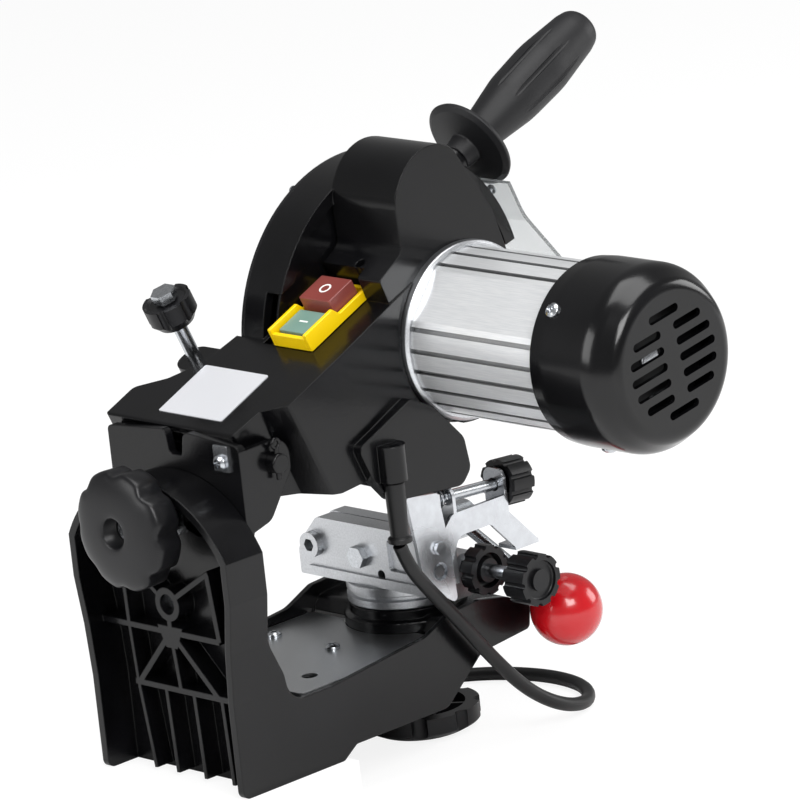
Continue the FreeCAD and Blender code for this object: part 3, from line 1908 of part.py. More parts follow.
knob_z = -size("under_knob_drop")
under_rim = 9.0
under_hub_r = 8.5
under_form = clamp_knob(
    "under_knob",
    size("big_knob_radius") + 1.5,
    under_rim,
    -size("cord_floor") - size("under_knob_drop") - under_rim,
    8,
    pivot_r + fit,
    under_hub_r,
    axes((turn_x, -turn_y, knob_z), RIGHT, FRONT),
)
hub_top = size("boss_floor") - gap
hub_low = knob_z - 6
under_hub = ring(
    "under_knob_hub", under_hub_r, pivot_r + fit, hub_top - hub_low, up_from(turn_x, -turn_y, hub_low)
)
made("turntable_knob", fuse("turntable_knob_body", under_form, under_hub))
made(
    "turntable_bolt",
    cylinder(
        "turntable_bolt_bar",
        "sizes.pivot_bolt_radius",
        "sizes.turntable_top - 1 + sizes.under_knob_drop + 10",
        up_from(turn_x, -turn_y, knob_z - 10),
    ),
)

# ---- Chain stop -----------------------------------------------------------------------------------

strip_t = 2.0
strip_side = jaw_end - gap - strip_t
pawl_t = size("stop_plate_thickness")
pawl_side = strip_side - gap - pawl_t
pin_y = -143.0
pin_z = 86.0
stop_screw_r = size("stop_screw_radius")
ear_back = -158.0
ear_front = -195.0
ear_top = 112.0
strip_form = prism(
    "stop_strip",
    rounded(
        [
            (-137, 66, 3),
            (-137, 92, 4),
            (-150, 92, 4),
            (ear_back + 1, 99, 6),
            (ear_front, 99),
            (ear_front, 90),
            (-213, 71),
            (-197, 71),
            (-182, 87, 3),
            (-160, 87, 6),
            (-149, 66, 3),
        ]
    ),
    strip_t,
    rightward_from(strip_side),
    holes=[(pin_y, pin_z, 2.0), stop_tap_spot + (2.0,)],
)
screw_x = -size("stop_screw_side")
slope = size("stop_screw_slope")
screw_place = axes(
    (screw_x, -size("stop_screw_back"), size("stop_screw_height")),
    RIGHT,
    (0, -math.sin(math.radians(slope)), math.cos(math.radians(slope))),
)


stop_bore_r = stop_screw_r + 0.5


def screw_height(y):
    """Height of the stop screw's axis at a distance y along the machine."""
    return size("stop_screw_height") + (y + size("stop_screw_back")) * math.tan(math.radians(slope))


def stop_ear(name, y):
    """Ear bent square to the strip, bored for the stop screw."""
    form = prism(
        name + "_sheet",
        rounded([(strip_side, 93), (-33, 93, 2), (-33, ear_top, 5), (strip_side, ear_top, 5)]),
        strip_t,
        forward_from(0, y, 0),
    )
    bore = cylinder(name + "_bore", stop_bore_r, 12.0, forward_from(screw_x, y + 5, screw_height(y - 1)))
    return cut(name, form, bore)


strip_foot = box("stop_strip_foot", 12.0, 16.0, strip_t, up_from(strip_side, -213, 71 - strip_t + 0.5))
strip_ears = [stop_ear("stop_back_ear", ear_back), stop_ear("stop_front_ear", ear_front + strip_t)]
made("stop_bracket", fuse("stop_bracket_body", strip_form, strip_foot, *strip_ears))

pawl_form = prism(
    "stop_pawl_form",
    rounded(
        [
            (-125.5, 116, 1),
            (-146.5, 113, 2),
            (-151.5, 79, 6),
            (-152.5, 55, 2),
            (-136, 66, 4),
            (-131, 77, 6),
        ]
    ),
    pawl_t,
    rightward_from(pawl_side),
    holes=[(pin_y, pin_z, 2.0 + fit), stop_tap_spot + (4.6,)],
)
tab_back = -145.5
tab_form = box("stop_pawl_tab", screw_x + 6 - pawl_side, 2.0, 9.0, up_from(pawl_side, tab_back - 2.0, 103.0))
tab_bore = cylinder(
    "stop_pawl_tab_bore", stop_bore_r, 12.0, forward_from(screw_x, tab_back + 5, screw_height(tab_back - 1))
)
made("stop_plate", cut("stop_plate_body", fuse("stop_pawl_cast", pawl_form, tab_form), tab_bore))

pin_length = strip_t + pawl_t + 2 * gap
made(
    "stop_pins",
    fuse(
        "stop_pin_pair",
        hex_bolt("stop_pin", 2.0, pin_length, 6.0, 2.0, axes((pawl_side - gap, pin_y, pin_z), FRONT, UP)),
        hex_bolt("stop_bolt", 2.0, pin_length, 6.0, 2.0, axes((strip_side,) + stop_tap_spot, FRONT, UP)),
    ),
)
knob_seat = -ear_front - size("stop_screw_back") + 1.2
stop_knob_r = size("stop_knob_radius")
made(
    "stop_screw",
    fuse(
        "stop_screw_bar",
        cylinder("stop_screw_thread", stop_screw_r, knob_seat + 17.5, moved(screw_place, z=-9.0)),
        cylinder("stop_screw_head", 4.6, 3.1, moved(screw_place, z=-12.0)),
    ),
)


def swept(name, wire, radius, start, heading):
    """Round bar or tube filling along a wire, from its start point and heading."""
    profile = Part.Wire([Part.makeCircle(radius, start, heading)])
    feature = document.addObject("Part::Feature", name)
    feature.Shape = wire.makePipeShell([profile], True, True)
    return feature


spring_wire = 0.7
spring_r = stop_screw_r + 0.5 + spring_wire
spring_back = tab_back - 2.0 - spring_wire
spring_length = ear_back * -1 + spring_back - spring_wire
spring_path = Part.makeHelix(2.6, spring_length, spring_r)
spring_start = Vector(spring_r, 0, 0)
stop_spring = swept("stop_spring_coil", spring_path, spring_wire, spring_start, Vector(0, 1, 0))
stop_spring.Placement = moved(screw_place, z=-spring_back - size("stop_screw_back"))
made("stop_spring", stop_spring)


def small_knob(name, radius, bore, place):
    """Moulded hand knob with gear-like teeth: hollow at z = 0, closed and dished at its far end."""
    teeth = 9
    height = 14.0
    form = prism(name + "_form", notched(radius, teeth, radius * 0.13), height, place)
    inside_r = radius * 0.87 - 2.0
    hub_r = radius * 0.42
    floor = height - 5
    hollow = turned(
        name + "_hollow",
        rounded([(hub_r, -1), (inside_r, -1), (inside_r, floor, 1.5), (hub_r, floor, 1)]),
        place,
    )
    dish = turned(
        name + "_dish",
        rounded(
            [
                (hub_r, height + 1),
                (hub_r, height - 2),
                (radius * 0.76, height - 2, 1),
                (radius * 0.76, height + 1),
            ]
        ),
        place,
    )
    bored = cylinder(name + "_bore", bore, height - 3, moved(place, z=-1))
    return cut(name, form, hollow, dish, bored)


stop_knob_place = moved(screw_place, z=knob_seat)
made("stop_knob", small_knob("stop_hand_knob", stop_knob_r, stop_screw_r + fit, stop_knob_place))
leftward = axes((0, feed_y, feed_z), BACK, DOWN)
feed_knob_start = 75.0
lock_start = 45.0
feed_start = -lug_side - 13
made(
    "feed_rod",
    cylinder("feed_rod_bar", feed_r, feed_knob_start + 9 - feed_start, moved(leftward, z=feed_start)),
)
lock_place = axes((-lock_start - 8, feed_y, feed_z), BACK, UP)
lock_r = size("feed_knob_radius") - 0.5
made(
    "feed_lock_knob",
    cut(
        "feed_lock_body",
        prism("feed_lock_form", notched(lock_r, 9, lock_r * 0.13), 8.0, lock_place),
        turned(
            "feed_lock_hollow",
            rounded([(6, -1), (lock_r * 0.87 - 2, -1), (lock_r * 0.87 - 2, 5, 1.5), (6, 5, 1)]),
            lock_place,
        ),
        cylinder("feed_lock_bore", feed_r + fit, 20.0, moved(lock_place, z=-5)),
    ),
)
made(
    "feed_knob",
    small_knob("feed_hand_knob", size("feed_knob_radius"), feed_r, moved(leftward, z=feed_knob_start)),
)

# ---- Power cord -----------------------------------------------------------------------------------

cord_r = size("cord_diameter") / 2
sleeve_low = 99.9
made(
    "cord_sleeve",
    turned(
        "cord_sleeve_form",
        rounded(
            [
                (0, sleeve_low),
                (6, sleeve_low, 0.5),
                (6, sleeve_low + 2.4, 0.8),
                (4.5, sleeve_low + 3.4),
                (5.2, gland.z - 1.2),
                (gland_r, gland.z - 0.7),
                (gland_r, gland.z + 8, 1),
                (0, gland.z + 8),
            ]
        ),
        up_from(gland.x, gland.y, 0),
    ),
)

CORD_ROUTE = [
    (-60, -108.3, 98.5),
    (-60, -112.2, 87.6),
    (-60.5, -121, 75),
    (-60, -139.2, 54.1),
    (-60.5, -162.6, 24.2),
    (-61, -183, 2.3),
    (-61.5, -205, -11.5),
    (-55.5, -228, -17.5),
    (-37, -246, -17.7),
    (-10, -251, -17.7),
    (18, -243, -17.7),
    (39, -227, -17.7),
    (52, -204, -17.7),
    (57.5, -176, -17.7),
    (57, -144, -17.7),
]
TAIL_TURN = (110.0, -128.0)
TAIL_RADIUS = 41.0
TAIL_STEP = -24
TAIL_LOW = -10.8
TAIL_HIGH = 11.6
TAIL_ROUTE = [
    (
        TAIL_TURN[0] + TAIL_RADIUS * math.cos(math.radians(TAIL_STEP * index)),
        TAIL_TURN[1] + TAIL_RADIUS * math.sin(math.radians(TAIL_STEP * index)),
        TAIL_LOW + (TAIL_HIGH - TAIL_LOW) * (1 - math.cos(math.pi * index / 8)) / 2,
    )
    for index in range(9)
]


def cord_tube(name, route):
    """Flexible cord along straight runs joined by tangent arcs; prints its bends and its fill."""
    points = [Vector(*point) for point in route]
    runs = [b - a for a, b in zip(points, points[1:])]
    edges = []
    radii = []
    start = points[0]
    for here, before, after in zip(points[1:], runs, runs[1:]):
        turn = before.getAngle(after)
        reach = 0.45 * min(before.Length, after.Length)
        radius = reach / math.tan(turn / 2)
        enter = here - before * (reach / before.Length)
        leave = here + after * (reach / after.Length)
        inward = (enter + leave) * 0.5 - here
        middle = here + inward.normalize() * (radius / math.cos(turn / 2) - radius)
        edges += [Part.makeLine(start, enter), Part.Arc(enter, middle, leave).toShape()]
        radii.append(radius)
        start = leave
    edges.append(Part.makeLine(start, points[-1]))
    wire = Part.Wire(edges)
    tube = swept(name, wire, cord_r, points[0], points[1] - points[0])
    ratio = tube.Shape.Volume / (math.pi * cord_r**2 * wire.Length)
    bends = ", ".join("%.0f" % radius for radius in radii)
    print("%s: bend radii %s mm, length %.0f mm, fill %.3f" % (name, bends, wire.Length, ratio))
    return tube


made("power_cord", cord_tube("power_cord_tube", CORD_ROUTE))

coil_r = size("coil_radius")
coil_low = size("cord_floor")
coil_high = coil_low + size("coil_thickness")
coil_form = turned(
    "cord_coil_form",
    rounded(
        [
            (size("coil_hole"), coil_low, 3.4),
            (coil_r, coil_low, 3.4),
            (coil_r, coil_high, 3.4),
            (size("coil_hole"), coil_high, 3.4),
        ]
    ),
    up_from(size("coil_side"), -size("coil_forward"), 0),
)
made("cord_coil", fuse("cord_coil_body", coil_form, cord_tube("cord_tail", TAIL_ROUTE)))

plug_end = Vector(*TAIL_ROUTE[-1])
plug_heading = plug_end - Vector(*TAIL_ROUTE[-2])
plug_heading.z = 0
plug_place = axes(tuple(plug_end), tuple(Vector(0, 0, 1).cross(plug_heading)), UP)
plug_body = turned(
    "plug_body",
    rounded(
        [
            (cord_r + 0.3, 0.3),
            (5.5, 0.3, 0.5),
            (7, 22),
            (12, 24, 2),
            (18.5, 34, 4),
            (18.5, 44, 1),
            (16.5, 46, 1),
            (0, 46),
            (0, 12),
            (cord_r + 0.3, 12),
        ]
    ),
    plug_place,
)
plug_pins = [
    turned(
        "plug_pin_%d" % index,
        rounded([(0, 45), (2.4, 45), (2.4, 64, 1.5), (0, 65)]),
        moved(plug_place, x=side * 9.5),
    )
    for index, side in enumerate((-1, 1))
]
made("mains_plug", fuse("mains_plug_body", plug_body, *plug_pins))


# ---- Checks and files -----------------------------------------------------------------------------

document.recompute()
for feature in document.Objects:
    if "Invalid" in feature.State or "Error" in feature.State:
        raise RuntimeError("%s failed: %s" % (feature.Name, feature.State))
os.makedirs("parts", exist_ok=True)
for piece in pieces:
    if piece.Shape.isNull() or not piece.Shape.isValid() or not piece.Shape.Solids:
        raise RuntimeError("%s has no valid solid" % piece.Label)
for piece in pieces:
    piece.Shape.exportStep(os.path.join("parts", piece.Label + ".step"))
print("%d sub-parts" % len(pieces))
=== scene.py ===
"""Looks of a bench chainsaw sharpener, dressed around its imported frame.

Lengths are in millimetres unless a name says metres. The frame's own nodes keep their shape and get
finishes here. The switch, the rear knob and the cord are modelled here in full, and so is a thin
web of the head beside the switch.
"""

import logging
import math
from dataclasses import dataclass, field
from enum import Enum

import bmesh
import bpy
from mathutils import Matrix, Vector


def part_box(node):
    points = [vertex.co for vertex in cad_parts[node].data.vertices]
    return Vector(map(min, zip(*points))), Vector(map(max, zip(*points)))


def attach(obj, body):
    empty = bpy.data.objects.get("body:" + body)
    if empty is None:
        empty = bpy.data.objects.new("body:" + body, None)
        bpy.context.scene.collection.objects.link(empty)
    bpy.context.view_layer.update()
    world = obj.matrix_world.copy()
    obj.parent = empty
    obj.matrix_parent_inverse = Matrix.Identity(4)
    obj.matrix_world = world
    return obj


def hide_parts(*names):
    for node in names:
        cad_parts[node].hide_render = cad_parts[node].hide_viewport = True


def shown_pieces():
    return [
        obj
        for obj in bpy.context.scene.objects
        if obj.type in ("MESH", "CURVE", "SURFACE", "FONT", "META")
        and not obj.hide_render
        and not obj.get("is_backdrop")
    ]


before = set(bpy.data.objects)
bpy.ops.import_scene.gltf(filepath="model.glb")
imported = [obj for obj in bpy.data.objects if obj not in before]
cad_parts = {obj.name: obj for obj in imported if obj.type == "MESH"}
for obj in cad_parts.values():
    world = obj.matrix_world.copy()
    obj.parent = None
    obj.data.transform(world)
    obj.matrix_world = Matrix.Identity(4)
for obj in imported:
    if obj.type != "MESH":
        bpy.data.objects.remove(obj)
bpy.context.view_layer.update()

logging.basicConfig(level=logging.INFO, format="%(message)s")
log = logging.getLogger("sharpener")

MM = 0.001
WHITE_LIGHT = (1, 1, 1, 1)


# ---- Small tools ----------------------------------------------------------------------------------


def metres(*values: float) -> Vector:
    """A point given in millimetres, in metres."""
    return Vector(values) * MM


def linear(colour: str) -> tuple[float, float, float, float]:
    """Turns an sRGB hex colour into linear light.

    Args:
        colour: Six hex digits after a hash, such as "#c8102e".

    Returns:
        Red, green, blue and an alpha of 1, each from 0 to 1.
    """
    channels = [int(colour[i : i + 2], 16) / 255 for i in (1, 3, 5)]
    lit = [c / 12.92 if c <= 0.04045 else ((c + 0.055) / 1.055) ** 2.4 for c in channels]
    return (lit[0], lit[1], lit[2], 1.0)


def add_node(
    tree: bpy.types.NodeTree,
    kind: str,
    settings: dict[str, object] | None = None,
    links: dict[str | int, bpy.types.NodeSocket] | None = None,
) -> bpy.types.Node:
    """Adds one node with its settings and the links that feed it.

    Args:
        tree: The node tree that takes the node.
        kind: The node's type name, without its "ShaderNode" start.
        settings: Socket values by input name, or the node's own properties in lower case.
        links: Output sockets of other nodes, by the name or number of the input that each feeds.

    Returns:
        The new node.
    """
    node = tree.nodes.new("ShaderNode" + kind)
    for name, value in (settings or {}).items():
        if name in node.inputs:
            node.inputs[name].default_value = value
        else:
            setattr(node, name, value)
    for name, output in (links or {}).items():
        tree.links.new(output, node.inputs[name])
    return node


def join(
    shape: bmesh.types.BMesh, first: list[bmesh.types.BMVert], second: list[bmesh.types.BMVert]
) -> None:
    """Joins two equal rings of vertices by a closed band of four-sided faces.

    Args:
        shape: The mesh that takes the faces.
        first: The vertices of one ring.
        second: Those of the other, in the same order.
    """
    for index in range(len(first)):
        after = (index + 1) % len(first)
        shape.faces.new((first[index], first[after], second[after], second[index]))


def share_of(value: float, start: float, span: float) -> float:
    """How far a value has gone through a span, from 0 to 1.

    Args:
        value: The value.
        start: Where the span starts.
        span: How long it is.

    Returns:
        0 before the span, 1 after it.
    """
    return min(max((value - start) / span, 0.0), 1.0)


# ---- Finishes -------------------------------------------------------------------------------------


class Grain(Enum):
    """How a surface was made, which decides its fine pattern."""

    ENAMELLED = "enamelled"
    MOULDED = "moulded"
    BRUSHED = "brushed"
    EXTRUDED = "extruded"
    PLATED = "plated"
    CAST = "cast"
    GRITTY = "gritty"


# Stretch of the pattern along X, Y and Z: a drawn or brushed surface has long thin marks
GRAIN_STRETCH = {Grain.BRUSHED: (30, 1, 30), Grain.EXTRUDED: (0.04, 1, 1)}
EVEN_GRAIN = (1, 1, 1)
FINE_DETAIL = 3.0
FINE_ROUGHNESS = 0.6
# Cloudy patches about 36 mm wide, which vary the colour of plastics and the sheen of everything
PATCHES_PER_METRE = 28.0
PATCH_DETAIL = 2.0
# The stretch of the pattern over which the main colour gives way to the worn one
TINT_SPAN = (0.35, 0.7)
# Height of the relief as a share of the grain's size
RELIEF_SHARE = 0.3
COAT_ROUGHNESS = 0.08
# Rays per point for the painted shade that darkens grooves and hollows
PAINTED_SHADE_SAMPLES = 6
ROUNDING_SAMPLES = 4
# Places of a colour Mix node's sockets, whose names it shares with its other kinds
MIX_FACTOR, MIX_FIRST, MIX_SECOND, MIX_RESULT = 0, 6, 7, 2


@dataclass(frozen=True)
class Finish:
    """One real material: what it is, how it was made and what the eye gets from it."""

    name: str
    colour: str
    worn: str
    roughness: float
    grain: Grain
    grain_mm: float
    relief: float
    metallic: float = 0.0
    coat: float = 0.0
    clear: float = 0.0
    spread: float = 0.05
    rounding_mm: float = 0.0
    specular: float = 0.5
    # Reach of the painted shade: the colour is darkened in grooves and hollows, where less light
    # falls
    painted_shade_mm: float = 0.0

    def material(self) -> bpy.types.Material:
        """The finish as a material, made once and then shared.

        Returns:
            The material named for the finish.
        """
        known = bpy.data.materials.get(self.name)
        if known:
            return known
        made = bpy.data.materials.new(self.name)
        made.use_nodes = True
        tree = made.node_tree
        tree.nodes.clear()
        place = add_node(tree, "TexCoord")
        stretch = add_node(
            tree,
            "Mapping",
            {"Scale": GRAIN_STRETCH.get(self.grain, EVEN_GRAIN)},
            {"Vector": place.outputs["Object"]},
        )
        fine = add_node(
            tree,
            "TexNoise",
            {"Scale": 1 / (self.grain_mm * MM), "Detail": FINE_DETAIL, "Roughness": FINE_ROUGHNESS},
            {"Vector": stretch.outputs["Vector"]},
        )
        broad = add_node(
            tree,
            "TexNoise",
            {"Scale": PATCHES_PER_METRE, "Detail": PATCH_DETAIL},
            {"Vector": place.outputs["Object"]},
        )
        blend = add_node(
            tree,
            "MapRange",
            {"From Min": TINT_SPAN[0], "From Max": TINT_SPAN[1]},
            {"Value": (fine if self.metallic else broad).outputs["Fac"]},
        )
        tint = add_node(tree, "Mix", {"data_type": "RGBA"})
        tint.inputs[MIX_FIRST].default_value = linear(self.colour)
        tint.inputs[MIX_SECOND].default_value = linear(self.worn)
        tree.links.new(blend.outputs["Result"], tint.inputs[MIX_FACTOR])
        colour = tint.outputs[MIX_RESULT]
        # Painted shade: an ambient occlusion node darkens the colour in grooves and hollows, standing
        # in for the shade that falls there
        if self.painted_shade_mm:
            groove_shade = add_node(
                tree,
                "AmbientOcclusion",
                {"samples": PAINTED_SHADE_SAMPLES, "Distance": self.painted_shade_mm * MM},
                {"Color": colour},
            )
            colour = groove_shade.outputs["Color"]
        rough = add_node(
            tree,
            "MapRange",
            {"To Min": self.roughness - self.spread, "To Max": self.roughness + self.spread},
            {"Value": broad.outputs["Fac"]},
        )
        bump = add_node(
            tree,
            "Bump",
            {"Strength": self.relief, "Distance": self.grain_mm * MM * RELIEF_SHARE},
            {"Height": fine.outputs["Fac"]},
        )
        if self.rounding_mm:
            edge = add_node(
                tree, "Bevel", {"samples": ROUNDING_SAMPLES, "Radius": self.rounding_mm * MM}
            )
            tree.links.new(edge.outputs["Normal"], bump.inputs["Normal"])
        shader = add_node(
            tree,
            "BsdfPrincipled",
            {
                "Metallic": self.metallic,
                "Coat Weight": self.coat,
                "Coat Roughness": COAT_ROUGHNESS,
                "Transmission Weight": self.clear,
                "Specular IOR Level": self.specular,
            },
            {
                "Base Color": colour,
                "Roughness": rough.outputs["Result"],
                "Normal": bump.outputs["Normal"],
            },
        )
        add_node(tree, "OutputMaterial", {}, {"Surface": shader.outputs["BSDF"]})
        return made


# Glossy stoved enamel over die-cast aluminium: deep black, soft wide highlights, a faint orange peel
BLACK_ENAMEL = Finish(
    "stoved_enamel_black",
    "#060607",
    "#0b0b0d",
    0.22,
    Grain.ENAMELLED,
    1.6,
    0.1,
    coat=0.05,
    rounding_mm=0.9,
    specular=0.26,
)
# Moulded nylon of the knobs: dark with a satin sheen and a very fine grain
NYLON = Finish(
    "moulded_nylon_black", "#0e0e10", "#151517", 0.36, Grain.MOULDED, 0.5, 0.15, specular=0.3
)
# Glossy ABS of the motor's cap: a smooth shell with a clear reflection
GLOSS_ABS = Finish(
    "moulded_abs_black", "#060607", "#0b0b0d", 0.2, Grain.MOULDED, 1.2, 0.06, coat=0.1, specular=0.3
)
# Grip rubber, matt and slightly grey so that its flutes read
GRIP_RUBBER = Finish(
    "moulded_grip_rubber", "#101012", "#171719", 0.5, Grain.MOULDED, 0.6, 0.3, specular=0.35
)
# Brushed stainless deck: long fine marks and a stretched reflection
BRUSHED_STAINLESS = Finish(
    "brushed_stainless", "#b9bbbd", "#d6d8da", 0.3, Grain.BRUSHED, 0.6, 0.12, metallic=1.0
)
# Zinc-plated sheet: bright, slightly cloudy, cool
ZINC = Finish(
    "zinc_plated_steel", "#c2c4c8", "#cdd0d4", 0.27, Grain.PLATED, 6.0, 0.04, metallic=1.0
)
# Turned and hardened steel of screws, pins and shafts: darker, tighter reflections
BRIGHT_STEEL = Finish(
    "turned_steel", "#b3b6ba", "#cbced2", 0.24, Grain.PLATED, 1.5, 0.06, metallic=1.0
)
# Extruded aluminium of the motor body: drawn lines along the ribs, a milky sheen, and painted shade
# darkening the grooves between the ribs
EXTRUDED_ALUMINIUM = Finish(
    "extruded_aluminium",
    "#e2e4e6",
    "#f0f1f2",
    0.34,
    Grain.EXTRUDED,
    0.5,
    0.06,
    metallic=0.6,
    painted_shade_mm=5.0,
)
# Die-cast aluminium of the vise, the motor's flange ring and its bell: bright with a fine grain
CAST_ALUMINIUM = Finish(
    "cast_aluminium", "#bcbec1", "#cdcfd2", 0.36, Grain.CAST, 1.0, 0.2, metallic=1.0
)
# Yellow ABS of the switch frame
YELLOW_ABS = Finish("moulded_abs_yellow", "#f5cf00", "#e9c100", 0.36, Grain.MOULDED, 0.8, 0.08)
# Translucent polycarbonate buttons: the colour sits in the plastic and the edges look softer
RED_BUTTON = Finish(
    "polycarbonate_red", "#8c4640", "#7d3c37", 0.3, Grain.MOULDED, 0.9, 0.05, clear=0.15
)
GREEN_BUTTON = Finish(
    "polycarbonate_green", "#7d9d92", "#6c8b80", 0.3, Grain.MOULDED, 0.9, 0.05, clear=0.15
)
# Phenolic lever ball: saturated red with a polished, slightly soft skin
PHENOLIC_RED = Finish(
    "phenolic_red", "#c30d18", "#b50b15", 0.22, Grain.MOULDED, 2.0, 0.02, coat=0.3
)
# Metallised polyester label, left bare: pale silver with a satin skin
LABEL_FILM = Finish(
    "metallised_film", "#cdced2", "#d8d9dd", 0.42, Grain.BRUSHED, 0.8, 0.04, metallic=0.25
)
# Clear polycarbonate shield, a little hazed by use
CLEAR_SHEET = Finish(
    "clear_polycarbonate", "#f3f6f7", "#eef2f3", 0.12, Grain.MOULDED, 4.0, 0.02, clear=0.9
)
# Vitrified grinding wheel: porous brick red grit
VITRIFIED = Finish("vitrified_abrasive", "#8f4a3e", "#b57365", 0.9, Grain.GRITTY, 0.7, 0.8)
# PVC sheath of the cord and its sleeve: matt black with a dull highlight
PVC = Finish("pvc_sheath", "#0c0c0d", "#131314", 0.45, Grain.MOULDED, 1.0, 0.12, specular=0.35)
# Varnished laminations and windings: dark, slightly glossy
VARNISHED_IRON = Finish(
    "varnished_laminations", "#4a4c50", "#6a6055", 0.5, Grain.CAST, 0.6, 0.3, metallic=0.6
)
# White filling of the button marks
MARK_WHITE = Finish("filled_mark_white", "#f4f4f0", "#ececea", 0.4, Grain.MOULDED, 1.0, 0.03)

DRESS = {
    BLACK_ENAMEL: ["base_casting", "head_housing", "tilt_bracket", "hinge_pin", "hinge_split_pin"],
    NYLON: [
        "guard_cover",
        "tilt_knob",
        "depth_stop_knob",
        "turntable_knob",
        "stop_knob",
        "feed_knob",
        "feed_lock_knob",
        "cooling_fan",
    ],
    GLOSS_ABS: ["motor_end_cap"],
    GRIP_RUBBER: ["handle_grip"],
    BRUSHED_STAINLESS: ["deck_plate"],
    LABEL_FILM: ["label_plate"],
    ZINC: ["pin_clip", "stop_bracket", "stop_plate"],
    CAST_ALUMINIUM: ["turntable", "fixed_jaw", "moving_jaw", "motor_rear_bell", "motor_flange"],
    EXTRUDED_ALUMINIUM: ["motor_body"],
    YELLOW_ABS: ["switch_frame"],
    RED_BUTTON: ["stop_button"],
    GREEN_BUTTON: ["start_button"],
    PHENOLIC_RED: ["clamp_ball"],
    CLEAR_SHEET: ["eye_shield"],
    VITRIFIED: ["grinding_wheel"],
    PVC: ["cord_sleeve", "mains_plug"],
    VARNISHED_IRON: ["stator", "rotor_core"],
}


def dress(piece: bpy.types.Object, finish: Finish) -> None:
    """Gives a piece one finish all over."""
    piece.data.materials.clear()
    piece.data.materials.append(finish.material())


# ---- Camera, light and floor ----------------------------------------------------------------------


@dataclass(frozen=True)
class Lamp:
    """One soft square lamp: its place and width in metres, and its output in watts."""

    name: str
    place: tuple[float, float, float]
    side: float
    power: float

    def build(self, aim: Vector) -> None:
        """Hangs the lamp.

        Args:
            aim: The point it faces, in metres.
        """
        light = bpy.data.lights.new(self.name, "AREA")
        light.size = self.side
        light.energy = self.power
        lamp = bpy.data.objects.new(self.name, light)
        lamp.location = self.place
        lamp.rotation_euler = (aim - Vector(self.place)).to_track_quat("-Z", "Y").to_euler()
        bpy.context.collection.objects.link(lamp)


# The key stands on the motor's side, the fill behind, and the front lamp lights the vise
LAMPS = (
    Lamp("key", (-1.5, 0.5, 1.3), 0.9, 30.0),
    Lamp("fill", (0.5, 1.6, 0.9), 1.1, 17.0),
    Lamp("top", (-0.3, -0.3, 1.9), 1.2, 22.0),
    Lamp("front", (-0.8, -1.7, 0.6), 0.8, 11.0),
)


